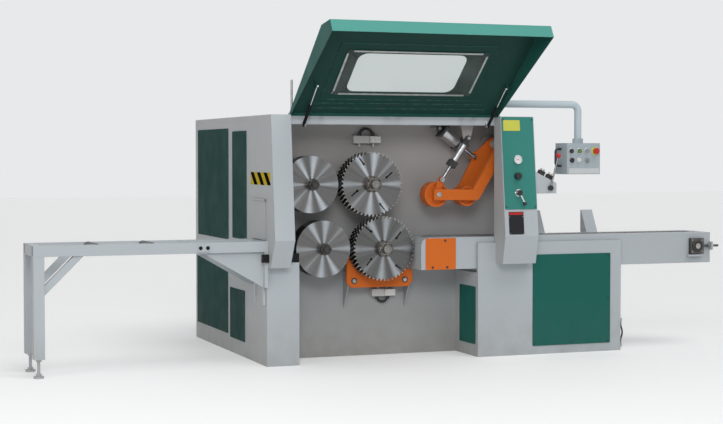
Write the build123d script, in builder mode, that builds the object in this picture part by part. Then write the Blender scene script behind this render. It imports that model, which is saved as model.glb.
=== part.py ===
from build123d import *
from math import atan2, cos, degrees, hypot, pi, radians, sin
import os

os.makedirs("parts", exist_ok=True)

# Twin-arbor log saw. Millimetres, +X towards the infeed, +Y to the rear, +Z up.
# The origin lies on the floor, at the centre of the cabinet's footprint.

# Cabinet
CABINET_W = 1920
CABINET_D = 1860
CABINET_H = 1680
WALL = 30
SKIN = 4
WALL_RIM = 60
CHAMBER_DEPTH = 354
BACK_PLATE = 12
BASE_H = 90
BASE_RAIL = 70
BASE_PAN = 8
TOP_RAIL_DEPTH = 40
TOP_RAIL_DROP = 32
COVER_T = 4
COVER_CORNER = 8
DISC_GAP = 13
OUTFEED_BASE_H = 693
THROAT_TOP = 1100

# Front pillars
LEFT_PILLAR_W = 138
CONSOLE_W = 255
PILLAR_TOP_DEPTH = 96
PILLAR_KNEE_DEPTH = 186
PILLAR_KNEE_Z = 850
LEFT_FOOT_DEPTH = 80
LEFT_FOOT_Z = 664
CONSOLE_FOOT_DEPTH = 143
CONSOLE_FOOT_Z = 655
CONSOLE_PANEL_DROP = (645, 4)
CONSOLE_PANEL_EDGE = 6

# Infeed wing and bed
WING_INSET = 390
WING_L = 1134
WING_PROUD = 30
WING_H = 590
WING_LIP = 25
WING_LIP_H = 800
WING_SHEET = 8
LOG_Y = -760
BED_L = 2320
BED_NOSE_X = 152
BED_W = 340
BED_H = 222
BED_TOP = 840
BED_WALL = 12
BED_NOSE_R = 55
CHAIN_SLOT = 90
CHAIN_W = 70
CHAIN_T = 24
CHAIN_PROUD = 6
CHAIN_PITCH = 63
CHAIN_INNER_R = 80
DRIVE_INSET = 127
TAIL_INSET = 127
SPROCKET_TEETH = 10
SPROCKET_W = 40
SPROCKET_SHAFT_R = 20
TAKE_UP_W = 111
TAKE_UP_H = 114
TAKE_UP_T = 30
TAKE_UP_TRAVEL = 30
TAKE_UP_SCREW_R = 9
TAKE_UP_SCREW_L = 130
NOSE_COVER_L = 226
NOSE_COVER_INSET = 33

# Outfeed table
RAIL_W = 60
RAIL_H = 70
RAIL_WALL = 5
TABLE_HALF_W = 200
TABLE_L = 1545
SPLICE_REACH = 440
LEG = 70
FOOT_H = 120
FOOT_R = 32
BRACE = 45
ROLLER_R = 30
ROLLER_PROUD = 5
ROLLER_PIN_R = 10
OUTFEED_ROLLERS_REACH = (1132, 766)
EXIT_W = 280
EXIT_BOTTOM = 840
EXIT_TOP = 1100

# Saws: (x, z) of each axis, all parallel to Y
UPPER_SAW = (-172, 1212)
LOWER_SAW = (-84, 766)
UPPER_DISC = (-612, 1212)
LOWER_DISC = (-526, 772)
SAW_R = 225
DISC_R = 194
BLADE_T = 4
BLADE_PITCH = 32
BLADES = 5
BLADE_FRONT_Y = -826
TEETH = 48
TOOTH_DEPTH = 10
ARBOR_R = 30
SPACER_R = 50
CLAMP_R = 56
CLAMP_T = 40
NUT_AF = 66
NUT_T = 30
DISC_ARBOR_R = 25
DISC_CLAMP_R = 40
COLLAR_T = 26
HOUSING_R = 65
HOUSING_FLANGE_R = 100
HOUSING_FLANGE_T = 15
LANTERN_L = 230
DISC_HOUSING_TAIL = 120
MOTOR_R = 130
MOTOR_L = 420

# Running fits
FIT = 0.05
GAP = 0.3
SIDE_GAP = 1

# Faces that the pieces share
LEFT = -CABINET_W / 2
RIGHT = CABINET_W / 2
FRONT = -CABINET_D / 2
BACK = CABINET_D / 2
ROOF_UNDER = CABINET_H - WALL
PLATE_FRONT = FRONT + CHAMBER_DEPTH
PLATE_BACK = PLATE_FRONT + BACK_PLATE
PILLAR_LEFT_INNER = LEFT + LEFT_PILLAR_W
CONSOLE_INNER = RIGHT - CONSOLE_W
OUTFEED_BASE_INNER = LOWER_DISC[0] - DISC_R - DISC_GAP
WING_X0 = RIGHT - WING_INSET
WING_X1 = WING_X0 + WING_L
WING_FRONT = FRONT - WING_PROUD
BED_X1 = BED_NOSE_X + BED_L
BED_NEAR = LOG_Y - BED_W / 2
BED_FAR = LOG_Y + BED_W / 2
BED_BOTTOM = BED_TOP - BED_H
CHAIN_OUTER_R = CHAIN_INNER_R + CHAIN_T
CHAIN_Z = BED_TOP + CHAIN_PROUD - CHAIN_OUTER_R
DRIVE_X = BED_NOSE_X + DRIVE_INSET
TAIL_X = BED_X1 - TAIL_INSET
TABLE_END_X = LEFT - TABLE_L
SPLICE_X = LEFT - SPLICE_REACH
OUTFEED_ROLLERS_X = [LEFT - reach for reach in OUTFEED_ROLLERS_REACH]
TABLE_NEAR = LOG_Y - TABLE_HALF_W
TABLE_FAR = LOG_Y + TABLE_HALF_W
RAIL_BOTTOM = BED_TOP - RAIL_H
STACK_BACK_Y = BLADE_FRONT_Y + (BLADES - 1) * BLADE_PITCH + BLADE_T
MOTOR_FACE_Y = PLATE_BACK + LANTERN_L


# Helpers

def at_x(x):
    """The plane across X, with local axes Y and Z; it extrudes towards +X."""
    return Plane.YZ.offset(x)


def at_y(y):
    """The plane across Y, with local axes X and Z; it extrudes towards -Y."""
    return Plane.XZ.offset(-y)


def block(x, y, z, mode=Mode.ADD):
    """A box from its (low, high) pair on each axis."""
    middle = [(low + high) / 2 for low, high in (x, y, z)]
    sides = [high - low for low, high in (x, y, z)]
    with Locations(tuple(middle)):
        Box(*sides, mode=mode)


def plate(plane, points, thickness, mode=Mode.ADD):
    """A flat plate with a polygon outline on the given plane."""
    with BuildSketch(plane) as outline:
        with BuildLine():
            Polyline(*points, close=True)
        make_face()
    extrude(outline.sketch, amount=thickness, mode=mode)


def rod(start, end, radius, mode=Mode.ADD):
    """A round bar between two points."""
    along = Vector(*end) - Vector(*start)
    with BuildSketch(Plane(origin=start, z_dir=along)) as section:
        Circle(radius)
    extrude(section.sketch, amount=along.length, mode=mode)


def shaft_y(axis, y, radius, mode=Mode.ADD):
    """A round bar along Y from y[0] to y[1] about the axis (x, z)."""
    rod((axis[0], y[0], axis[1]), (axis[0], y[1], axis[1]), radius, mode)


def cover_plate(plane, width, height):
    """A sheet cover of the given (low, high) pairs, lying on a plane."""
    with BuildSketch(plane) as outline:
        with Locations((sum(width) / 2, sum(height) / 2)):
            RectangleRounded(width[1] - width[0], height[1] - height[0], COVER_CORNER)
    extrude(outline.sketch, amount=COVER_T)


def keep(piece, name):
    """Name a finished piece and write it out."""
    piece.part.label = name
    export_step(piece.part, f"parts/{name}.step")


# Cabinet

with BuildPart() as base_frame:
    inner_x = (LEFT + WALL, RIGHT - WALL)
    inner_y = (PLATE_BACK, BACK - WALL)
    block(inner_x, inner_y, (0, BASE_H))
    pocket_y = (inner_y[0] + BASE_RAIL, inner_y[1] - BASE_RAIL)
    pocket_z = (BASE_PAN, BASE_H)
    block((inner_x[0] + BASE_RAIL, -BASE_RAIL / 2), pocket_y, pocket_z, Mode.SUBTRACT)
    block((BASE_RAIL / 2, inner_x[1] - BASE_RAIL), pocket_y, pocket_z, Mode.SUBTRACT)
keep(base_frame, "base_frame")

SLIDE_BAR_INSET = 5
SLIDE_BAR_W = 45
SLIDE_BAR_LIFT = 7
SLIDE_BAR_H = 54
SLIDE_BAR_Y = (FRONT + SLIDE_BAR_INSET, FRONT + SLIDE_BAR_INSET + SLIDE_BAR_W)
SLIDE_BAR_Z = (OUTFEED_BASE_H + SLIDE_BAR_LIFT, OUTFEED_BASE_H + SLIDE_BAR_LIFT + SLIDE_BAR_H)
EXIT_Y = (LOG_Y - EXIT_W / 2, LOG_Y + EXIT_W / 2)
# The walls are folded pans, hollow on the inside behind the chamber
PAN_X = (LEFT + WALL + WALL_RIM, RIGHT - WALL - WALL_RIM)
PAN_Y = (PLATE_BACK + WALL_RIM, BACK - WALL - WALL_RIM)
PAN_Z = (BASE_H + WALL_RIM, ROOF_UNDER - WALL_RIM)

with BuildPart() as left_wall:
    plate(at_x(LEFT), [(PLATE_FRONT, 0), (BACK, 0), (BACK, ROOF_UNDER), (FRONT, ROOF_UNDER),
                       (FRONT, OUTFEED_BASE_H), (PLATE_FRONT, OUTFEED_BASE_H)], WALL)
    block((LEFT, OUTFEED_BASE_INNER), (FRONT, PLATE_FRONT), (0, OUTFEED_BASE_H))
    block((LEFT, LEFT + WALL), EXIT_Y, (EXIT_BOTTOM, EXIT_TOP), Mode.SUBTRACT)
    block((LEFT, LEFT + WALL), SLIDE_BAR_Y, SLIDE_BAR_Z, Mode.SUBTRACT)
    block((LEFT + SKIN, LEFT + WALL), PAN_Y, PAN_Z, Mode.SUBTRACT)
keep(left_wall, "left_wall")

with BuildPart() as right_wall:
    plate(at_x(RIGHT - WALL), [(PLATE_FRONT, 0), (BACK, 0), (BACK, ROOF_UNDER), (FRONT, ROOF_UNDER),
                               (FRONT, THROAT_TOP), (PLATE_FRONT, THROAT_TOP)], WALL)
    block((RIGHT - WALL, RIGHT - SKIN), PAN_Y, PAN_Z, Mode.SUBTRACT)
keep(right_wall, "right_wall")

VENT_L = 300
VENT_H = 14
VENT_PITCH = 40
VENT_ROWS = 6
VENT_Z = CABINET_H - 430

with BuildPart() as rear_wall:
    block((LEFT + WALL, RIGHT - WALL), (BACK - WALL, BACK), (0, ROOF_UNDER))
    block(PAN_X, (BACK - WALL, BACK - SKIN), PAN_Z, Mode.SUBTRACT)
    with BuildSketch(at_y(BACK)):
        with Locations((0, VENT_Z)):
            with GridLocations(2 * VENT_L, VENT_PITCH, 2, VENT_ROWS):
                SlotOverall(VENT_L, VENT_H)
    extrude(amount=WALL, mode=Mode.SUBTRACT)
keep(rear_wall, "rear_wall")

ARM_POST = (RIGHT - 240, FRONT + 49)
ARM_POST_R = 38
ARM_POST_H = 34
ARM_POST_FLANGE_R = 48
ARM_POST_FLANGE_T = 10
ARM_TUBE_R = 26

with BuildPart() as roof_panel:
    block((LEFT, RIGHT), (FRONT, BACK), (ROOF_UNDER, CABINET_H))
    block(PAN_X, PAN_Y, (ROOF_UNDER, CABINET_H - SKIN), Mode.SUBTRACT)
    block((PILLAR_LEFT_INNER, CONSOLE_INNER), (FRONT, FRONT + TOP_RAIL_DEPTH),
          (ROOF_UNDER - TOP_RAIL_DROP, ROOF_UNDER))
    with Locations((*ARM_POST, CABINET_H)):
        upright = (Align.CENTER, Align.CENTER, Align.MIN)
        Cylinder(ARM_POST_FLANGE_R, ARM_POST_FLANGE_T, align=upright)
        Cylinder(ARM_POST_R, ARM_POST_H, align=upright)
        Cylinder(ARM_TUBE_R + FIT, ARM_POST_H, align=upright, mode=Mode.SUBTRACT)
keep(roof_panel, "roof_panel")

# The bracket of the hand lever stands out of the console pillar's right side
LEVER_BRACKET_L = 161
LEVER_BRACKET_Y = (-1070, -1010)
LEVER_BRACKET_Z = (CABINET_H - 537, CABINET_H - 464, CABINET_H - 386)
HAND_LEVER = (RIGHT + 110, CABINET_H - 499)
LEVER_PIN_R = 8
LEVER_PIN_L = 28

with BuildPart() as front_pillars:
    plate(at_x(LEFT), [(FRONT, CABINET_H), (FRONT - PILLAR_TOP_DEPTH, CABINET_H),
                       (FRONT - PILLAR_KNEE_DEPTH, PILLAR_KNEE_Z), (FRONT - LEFT_FOOT_DEPTH, LEFT_FOOT_Z),
                       (FRONT, LEFT_FOOT_Z)], LEFT_PILLAR_W)
    plate(at_x(CONSOLE_INNER), [(FRONT, CABINET_H), (FRONT - PILLAR_TOP_DEPTH, CABINET_H),
                                (FRONT - PILLAR_KNEE_DEPTH, PILLAR_KNEE_Z),
                                (FRONT - CONSOLE_FOOT_DEPTH, CONSOLE_FOOT_Z), (WING_FRONT, CONSOLE_FOOT_Z),
                                (WING_FRONT, WING_LIP_H), (FRONT, WING_LIP_H)], CONSOLE_W)
    low, end_top, root_top = LEVER_BRACKET_Z
    bracket_end = RIGHT + LEVER_BRACKET_L
    bracket_front, bracket_back = LEVER_BRACKET_Y
    plate(at_y(bracket_back), [(RIGHT, low), (bracket_end, low), (bracket_end, end_top), (RIGHT, root_top)],
          bracket_back - bracket_front)
    shaft_y(HAND_LEVER, (bracket_front, bracket_front + LEVER_PIN_L), LEVER_PIN_R + FIT, Mode.SUBTRACT)
keep(front_pillars, "front_pillars")

# The pillars' sloping face, with local axes across and up the slope
SLOPE_RUN = PILLAR_KNEE_DEPTH - PILLAR_TOP_DEPTH
SLOPE_RISE = CABINET_H - PILLAR_KNEE_Z
SLOPE_L = hypot(SLOPE_RUN, SLOPE_RISE)
SLOPE_FACE = Plane(origin=(0, FRONT - PILLAR_KNEE_DEPTH, PILLAR_KNEE_Z), x_dir=(1, 0, 0),
                   z_dir=(0, -SLOPE_RISE / SLOPE_L, SLOPE_RUN / SLOPE_L))


def up_slope(z):
    """How far up the sloping face the height z lies."""
    return (z - PILLAR_KNEE_Z) * SLOPE_L / SLOPE_RISE


with BuildPart() as console_panel:
    cover_plate(SLOPE_FACE, (CONSOLE_INNER + CONSOLE_PANEL_EDGE, RIGHT - CONSOLE_PANEL_EDGE),
                [up_slope(CABINET_H - drop) for drop in CONSOLE_PANEL_DROP])
keep(console_panel, "console_panel")

# Covers: (low, high) along the wall, then in height
LEFT_COVERS = (((0, 850), (805, CABINET_H - 78)), ((-460, -108), (825, CABINET_H - 100)),
               ((20, 880), (125, 700)), ((-410, -40), (107, 466)))
WING_FRONT_COVER = ((WING_X0 + 424, WING_X1 - 88), (60, 708))
WING_SIDE_COVER = ((-921, -652), (85, 490))
FACE_LEFT = Plane(origin=(0, 0, 0), x_dir=(0, -1, 0), z_dir=(-1, 0, 0))

with BuildPart() as access_covers:
    for wall_x, (depth, height) in [(LEFT, cover) for cover in LEFT_COVERS] + [(WING_X0, WING_SIDE_COVER)]:
        cover_plate(FACE_LEFT.offset(-wall_x), (-depth[1], -depth[0]), height)
    cover_plate(at_y(WING_FRONT), *WING_FRONT_COVER)
keep(access_covers, "access_covers")

with BuildPart() as slide_bar:
    block((LEFT, OUTFEED_BASE_INNER), SLIDE_BAR_Y, SLIDE_BAR_Z)
keep(slide_bar, "slide_bar")

# Infeed wing and bed
GLAND_X = 20
GLAND_Y = WING_FRONT + 35
GLAND_R = 11
GLAND_Z = ((205, 230), (20, 45))
CABLE_R = 6
CABLE_BOW = 14
BEND_SHARE = 0.45
PAD_W = 60

with BuildPart() as wing_base:
    block((WING_X0, WING_X1), (WING_FRONT, PLATE_FRONT), (0, WING_H))
    block((WING_X0 + WING_SHEET, WING_X1 - WING_SHEET), (WING_FRONT + WING_SHEET, PLATE_FRONT - WING_SHEET),
          (0, WING_H - WING_SHEET), Mode.SUBTRACT)
    block((WING_X0, WING_X1), (WING_FRONT, WING_FRONT + WING_LIP), (WING_H, WING_LIP_H))
    for x in (WING_X0 + PAD_W, WING_X1 - PAD_W):
        block((x - PAD_W / 2, x + PAD_W / 2), (BED_NEAR, BED_FAR), (WING_H, BED_BOTTOM))
    for low, high in GLAND_Z:
        rod((WING_X1, GLAND_Y, (low + high) / 2), (WING_X1 + GLAND_X, GLAND_Y, (low + high) / 2), GLAND_R)
        rod((WING_X1 + GLAND_X, GLAND_Y, low), (WING_X1 + GLAND_X, GLAND_Y, high), GLAND_R)
keep(wing_base, "wing_base")

CABLE_OUT = WING_X1 + GLAND_X
CABLE_ROUTE = [(CABLE_OUT, GLAND_Y, 205), (CABLE_OUT, GLAND_Y, 175), (CABLE_OUT + CABLE_BOW, GLAND_Y, 140),
               (CABLE_OUT + CABLE_BOW, GLAND_Y, 110), (CABLE_OUT, GLAND_Y, 75), (CABLE_OUT, GLAND_Y, 45)]


def bend_radii(points):
    """The largest tangent arc at each inner point of a cord's route."""
    radii = []
    for before, here, after in zip(points, points[1:], points[2:]):
        run_in = Vector(*here) - Vector(*before)
        run_out = Vector(*after) - Vector(*here)
        half_turn = radians(run_in.get_angle(run_out)) / 2
        radii.append(BEND_SHARE * min(run_in.length, run_out.length) * cos(half_turn) / sin(half_turn))
    return radii


with BuildPart() as cable_loop:
    with BuildLine() as cable_line:
        FilletPolyline(*CABLE_ROUTE, radius=bend_radii(CABLE_ROUTE))
    with BuildSketch(Plane(origin=cable_line.line @ 0, z_dir=cable_line.line % 0)):
        Circle(CABLE_R)
    sweep()
keep(cable_loop, "cable_loop")
print("cable radii", [round(radius) for radius in bend_radii(CABLE_ROUTE)])
print("cable volume", cable_loop.part.volume, pi * CABLE_R ** 2 * cable_line.wires()[0].length)

GUIDE_W = 92
GUIDE_T = 10
GUIDE_DROP = 60
GUIDE_RISE = 163
GUIDE_LEAN = 85
GUIDE_CHEEK = 5
GUIDES_X = (1188, 1624)
TAB_T = 12
TAB_H = 60
SIDES = ((BED_NEAR, -1), (BED_FAR, 1))


def bed_box(inset, mode=Mode.ADD):
    """The bed's box with its rounded nose, drawn in on every side by the inset."""
    nose, end = BED_NOSE_X + inset, BED_X1 - inset
    bottom, top = BED_BOTTOM + inset, BED_TOP - inset
    radius = BED_NOSE_R - inset
    with BuildSketch(at_y(BED_FAR - inset)) as outline:
        with BuildLine():
            Polyline((nose, top - radius), (nose, bottom), (end, bottom), (end, top), (nose + radius, top))
            CenterArc((nose + radius, top - radius), radius, 90, 90)
        make_face()
    extrude(outline.sketch, amount=BED_W - 2 * inset, mode=mode)


with BuildPart() as infeed_bed:
    bed_box(0)
    for face, side in SIDES:
        tab_y = sorted((face, face + side * (TAKE_UP_T + TAB_T)))
        block((BED_X1 - TAB_T, BED_X1), tab_y, (CHAIN_Z - TAB_H / 2, CHAIN_Z + TAB_H / 2))
        screw_y = face + side * (GAP + TAKE_UP_T / 2)
        rod((BED_X1 - TAB_T, screw_y, CHAIN_Z), (BED_X1, screw_y, CHAIN_Z), TAKE_UP_SCREW_R + FIT,
            Mode.SUBTRACT)
    for x in GUIDES_X:
        foot, knee, top = BED_TOP - GUIDE_DROP, BED_TOP, BED_TOP + GUIDE_RISE
        plate(at_x(x), [(BED_FAR, foot), (BED_FAR + GUIDE_T, foot), (BED_FAR + GUIDE_T, knee),
                        (BED_FAR + GUIDE_LEAN + GUIDE_T, top), (BED_FAR + GUIDE_LEAN, top), (BED_FAR, knee)],
              GUIDE_W)
        guide_back = BED_FAR + GUIDE_LEAN + GUIDE_T
        for cheek in (x, x + GUIDE_W - GUIDE_CHEEK):
            plate(at_x(cheek), [(BED_FAR, foot), (BED_FAR + GUIDE_T, foot), (guide_back, knee),
                                (guide_back, top), (BED_FAR + GUIDE_LEAN, top), (BED_FAR, knee)], GUIDE_CHEEK)
    bed_box(BED_WALL, Mode.SUBTRACT)
    block((BED_NOSE_X + BED_NOSE_R, BED_X1 - BED_WALL), (LOG_Y - CHAIN_SLOT / 2, LOG_Y + CHAIN_SLOT / 2),
          (BED_TOP - BED_WALL, BED_TOP), Mode.SUBTRACT)
    shaft_y((DRIVE_X, CHAIN_Z), (BED_NEAR, BED_FAR), SPROCKET_SHAFT_R + FIT, Mode.SUBTRACT)
    with BuildSketch(at_y(BED_FAR)):
        with Locations((TAIL_X - TAKE_UP_TRAVEL / 2, CHAIN_Z)):
            SlotCenterToCenter(TAKE_UP_TRAVEL, 2 * (SPROCKET_SHAFT_R + SIDE_GAP))
    extrude(amount=BED_W, mode=Mode.SUBTRACT)
keep(infeed_bed, "infeed_bed")

with BuildPart() as nose_cover:
    cover_plate(at_y(BED_NEAR), (BED_NOSE_X + NOSE_COVER_INSET, BED_NOSE_X + NOSE_COVER_INSET + NOSE_COVER_L),
                (BED_BOTTOM, BED_TOP - COVER_T))
keep(nose_cover, "nose_cover")

LINK_GROOVE_W = 7
LINK_GROOVE_D = 9

with BuildPart() as feed_chain:
    with BuildSketch(at_y(LOG_Y + CHAIN_W / 2)):
        with Locations(((DRIVE_X + TAIL_X) / 2, CHAIN_Z)):
            SlotCenterToCenter(TAIL_X - DRIVE_X, 2 * CHAIN_OUTER_R)
            SlotCenterToCenter(TAIL_X - DRIVE_X, 2 * CHAIN_INNER_R, mode=Mode.SUBTRACT)
    extrude(amount=CHAIN_W)
    for link in range(int((TAIL_X - DRIVE_X) / CHAIN_PITCH) + 1):
        x = DRIVE_X + link * CHAIN_PITCH
        for side in (1, -1):
            outer = CHAIN_Z + side * CHAIN_OUTER_R
            groove_z = sorted((outer, outer - side * LINK_GROOVE_D))
            block((x - LINK_GROOVE_W / 2, x + LINK_GROOVE_W / 2), (LOG_Y - CHAIN_W / 2, LOG_Y + CHAIN_W / 2),
                  groove_z, Mode.SUBTRACT)
keep(feed_chain, "feed_chain")


def sprocket(x, shaft_ends):
    """A toothed wheel inside the chain, with its shaft along Y."""
    tip = CHAIN_INNER_R - GAP
    root = tip - LINK_GROOVE_D
    pitch = 2 * pi / SPROCKET_TEETH
    points = []
    for tooth in range(SPROCKET_TEETH):
        for share, radius in ((0, root), (0.2, tip), (0.45, tip), (0.65, root)):
            angle = (tooth + share) * pitch
            points.append((x + radius * cos(angle), CHAIN_Z + radius * sin(angle)))
    plate(at_y(LOG_Y + SPROCKET_W / 2), points, SPROCKET_W)
    shaft_y((x, CHAIN_Z), shaft_ends, SPROCKET_SHAFT_R)


SHAFT_END = 12
GEARBOX_L = 120
GEARBOX_H = 150

with BuildPart() as drive_sprocket:
    sprocket(DRIVE_X, (BED_NEAR + SIDE_GAP, PLATE_BACK + GEARBOX_L - SHAFT_END))
keep(drive_sprocket, "drive_sprocket")

with BuildPart() as tail_sprocket:
    sprocket(TAIL_X, (BED_NEAR - GAP - TAKE_UP_T - SHAFT_END, BED_FAR + GAP + TAKE_UP_T + SHAFT_END))
keep(tail_sprocket, "tail_sprocket")

with BuildPart() as take_up_blocks:
    for face, side in SIDES:
        inner = face + side * GAP
        outer = inner + side * TAKE_UP_T
        block((TAIL_X - TAKE_UP_W / 2, TAIL_X + TAKE_UP_W / 2), sorted((inner, outer)),
              (CHAIN_Z - TAKE_UP_H / 2, CHAIN_Z + TAKE_UP_H / 2))
        shaft_y((TAIL_X, CHAIN_Z), (inner, outer), SPROCKET_SHAFT_R + FIT, Mode.SUBTRACT)
        screw_start = TAIL_X + TAKE_UP_W / 2
        screw_y = (inner + outer) / 2
        screw_end = screw_start + TAKE_UP_SCREW_L
        rod((screw_start, screw_y, CHAIN_Z), (screw_end, screw_y, CHAIN_Z), TAKE_UP_SCREW_R)
keep(take_up_blocks, "take_up_blocks")

# Outfeed bracket and table
BRACKET_PLATE_T = 25
BRACKET_FOOT_Z = 531
GUSSET_T = 8
SPLICE_L = 80
SPLICE_T = 6
SPLICE_EDGE = 10
CROSS_H = 40
BRACE_LEG_Z = 585
BRACE_END = 63
BRACE_RAIL_X = TABLE_END_X + 257
FOOT_PAD_T = 14
FOOT_STEM_R = 10
RAILS_Y = ((TABLE_NEAR, TABLE_NEAR + RAIL_W), (TABLE_FAR - RAIL_W, TABLE_FAR))
BETWEEN_RAILS = (TABLE_NEAR + RAIL_W, TABLE_FAR - RAIL_W)
ROLLER_Z = BED_TOP + ROLLER_PROUD - ROLLER_R


def rail_tube(x, y):
    """A rectangular tube along X."""
    block(x, y, (RAIL_BOTTOM, BED_TOP))
    inside_z = (RAIL_BOTTOM + RAIL_WALL, BED_TOP - RAIL_WALL)
    block(x, (y[0] + RAIL_WALL, y[1] - RAIL_WALL), inside_z, Mode.SUBTRACT)


with BuildPart() as outfeed_bracket:
    for y, outside in zip(RAILS_Y, (-1, 1)):
        rail_tube((SPLICE_X, LEFT), y)
        block((LEFT - BRACKET_PLATE_T, LEFT), y, (BRACKET_FOOT_Z, BED_TOP))
        middle = (y[0] + y[1]) / 2
        plate(at_y(middle + GUSSET_T / 2), [(LEFT - BRACKET_PLATE_T, RAIL_BOTTOM),
                                            (LEFT - BRACKET_PLATE_T, BRACKET_FOOT_Z),
                                            (SPLICE_X, RAIL_BOTTOM)], GUSSET_T)
        face = y[0] if outside < 0 else y[1]
        block((SPLICE_X - SPLICE_L / 2, SPLICE_X + SPLICE_L / 2), sorted((face, face + outside * SPLICE_T)),
              (RAIL_BOTTOM + SPLICE_EDGE, BED_TOP - SPLICE_EDGE))
    block((SPLICE_X + RAIL_W, SPLICE_X + 2 * RAIL_W), BETWEEN_RAILS, (RAIL_BOTTOM, RAIL_BOTTOM + CROSS_H))
keep(outfeed_bracket, "outfeed_bracket")

with BuildPart() as outfeed_table:
    for y in RAILS_Y:
        rail_tube((TABLE_END_X, SPLICE_X), y)
        leg_y = (sum(y) / 2 - LEG / 2, sum(y) / 2 + LEG / 2)
        block((TABLE_END_X, TABLE_END_X + LEG), leg_y, (FOOT_H, RAIL_BOTTOM))
        middle = sum(y) / 2
        corner_x = TABLE_END_X + LEG
        plate(at_y(middle + BRACE / 2), [(corner_x, BRACE_LEG_Z), (corner_x, BRACE_LEG_Z - BRACE_END),
                                         (BRACE_RAIL_X + BRACE_END, RAIL_BOTTOM),
                                         (BRACE_RAIL_X, RAIL_BOTTOM)], BRACE)
        foot_x = TABLE_END_X + LEG / 2
        rod((foot_x, middle, 0), (foot_x, middle, FOOT_PAD_T), FOOT_R)
        rod((foot_x, middle, FOOT_PAD_T), (foot_x, middle, FOOT_H), FOOT_STEM_R)
        for x in OUTFEED_ROLLERS_X:
            inner_wall = (y[1] - RAIL_WALL, y[1]) if y[1] < LOG_Y else (y[0], y[0] + RAIL_WALL)
            shaft_y((x, ROLLER_Z), inner_wall, ROLLER_PIN_R + FIT, Mode.SUBTRACT)
    block((TABLE_END_X, TABLE_END_X + RAIL_W), BETWEEN_RAILS, (RAIL_BOTTOM, BED_TOP))
    block((SPLICE_X - 2 * RAIL_W, SPLICE_X - RAIL_W), BETWEEN_RAILS, (RAIL_BOTTOM, RAIL_BOTTOM + CROSS_H))
keep(outfeed_table, "outfeed_table")

for number, x in enumerate(OUTFEED_ROLLERS_X, 1):
    with BuildPart() as outfeed_roller:
        shaft_y((x, ROLLER_Z), (BETWEEN_RAILS[0] + SIDE_GAP / 2, BETWEEN_RAILS[1] - SIDE_GAP / 2), ROLLER_R)
        shaft_y((x, ROLLER_Z), (BETWEEN_RAILS[0] - RAIL_WALL, BETWEEN_RAILS[1] + RAIL_WALL), ROLLER_PIN_R)
    keep(outfeed_roller, f"outfeed_roller_{number}")

# Exit flap, hung on a pin above the opening
FLAP_T = 4
FLAP_LAP = 8
FLAP_CLEAR = 6
FLAP_PIN_R = 4
FLAP_KNUCKLE_R = 7
FLAP_PIN_OUT = 9
FLAP_PIN_UP = 12
FLAP_AXIS = (LEFT - FLAP_PIN_OUT, EXIT_TOP + FLAP_PIN_UP)
FLAP_Y = (EXIT_Y[0] - FLAP_LAP, EXIT_Y[1] + FLAP_LAP)

with BuildPart() as outfeed_flap:
    block((LEFT - SIDE_GAP - FLAP_T, LEFT - SIDE_GAP), FLAP_Y, (BED_TOP + FLAP_CLEAR, FLAP_AXIS[1]))
    shaft_y(FLAP_AXIS, FLAP_Y, FLAP_KNUCKLE_R)
    shaft_y(FLAP_AXIS, FLAP_Y, FLAP_PIN_R + FIT, Mode.SUBTRACT)
keep(outfeed_flap, "outfeed_flap")

# Chamber back plate, with the gussets under the lower saw
LOWER_BRACKET_T = 20
BLADE_CLEARANCE = 4
LOWER_BRACKET_Y = (STACK_BACK_Y + BLADE_CLEARANCE, STACK_BACK_Y + BLADE_CLEARANCE + LOWER_BRACKET_T)
LOWER_BRACKET_X = (-308, 185)
LOWER_BRACKET_Z = (489, 713)
LOWER_BRACKET_CORNER = 35
LOWER_BRACKET_BORE = 100
BED_CLEAR = 10
GUSSET_INSET = 18
GUSSET_FOOT_Z = 335
GUSSET_TOP_Z = 600
SAW_AXES = (UPPER_SAW, LOWER_SAW)
DISC_AXES = (UPPER_DISC, LOWER_DISC)

with BuildPart() as chamber_back_plate:
    block((LEFT + WALL, RIGHT - WALL), (PLATE_FRONT, PLATE_BACK), (0, ROOF_UNDER))
    for x in (LOWER_BRACKET_X[0] + GUSSET_INSET, LOWER_BRACKET_X[1] - GUSSET_INSET):
        gusset_front = LOWER_BRACKET_Y[1]
        plate(at_x(x - GUSSET_T / 2), [(gusset_front, GUSSET_TOP_Z), (gusset_front, LOWER_BRACKET_Z[0]),
                                       (PLATE_FRONT, GUSSET_FOOT_Z), (PLATE_FRONT, GUSSET_TOP_Z)], GUSSET_T)
    for axis in SAW_AXES + DISC_AXES:
        shaft_y(axis, (PLATE_FRONT, PLATE_BACK), HOUSING_R + SIDE_GAP / 2, Mode.SUBTRACT)
    shaft_y((DRIVE_X, CHAIN_Z), (PLATE_FRONT, PLATE_BACK), SPROCKET_SHAFT_R + SIDE_GAP, Mode.SUBTRACT)
keep(chamber_back_plate, "chamber_back_plate")

with BuildPart() as lower_bracket:
    left, right = LOWER_BRACKET_X
    bottom, top = LOWER_BRACKET_Z
    step_x, step_z = BED_NOSE_X - BED_CLEAR, BED_BOTTOM - BED_CLEAR
    corner = LOWER_BRACKET_CORNER
    plate(at_y(LOWER_BRACKET_Y[1]), [(left, top), (left, bottom + corner), (left + corner, bottom),
                                     (right - corner, bottom), (right, bottom + corner), (right, step_z),
                                     (step_x, step_z), (step_x, top)],
          LOWER_BRACKET_T)
    shaft_y(LOWER_SAW, LOWER_BRACKET_Y, LOWER_BRACKET_BORE, Mode.SUBTRACT)
keep(lower_bracket, "lower_bracket")

# Arbors, blades and discs


def ring_y(axis, y, outer, inner):
    """A round sleeve along Y."""
    with BuildSketch(at_y(y[1])) as section:
        with Locations(axis):
            Circle(outer)
            Circle(inner, mode=Mode.SUBTRACT)
    extrude(section.sketch, amount=y[1] - y[0])


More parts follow.
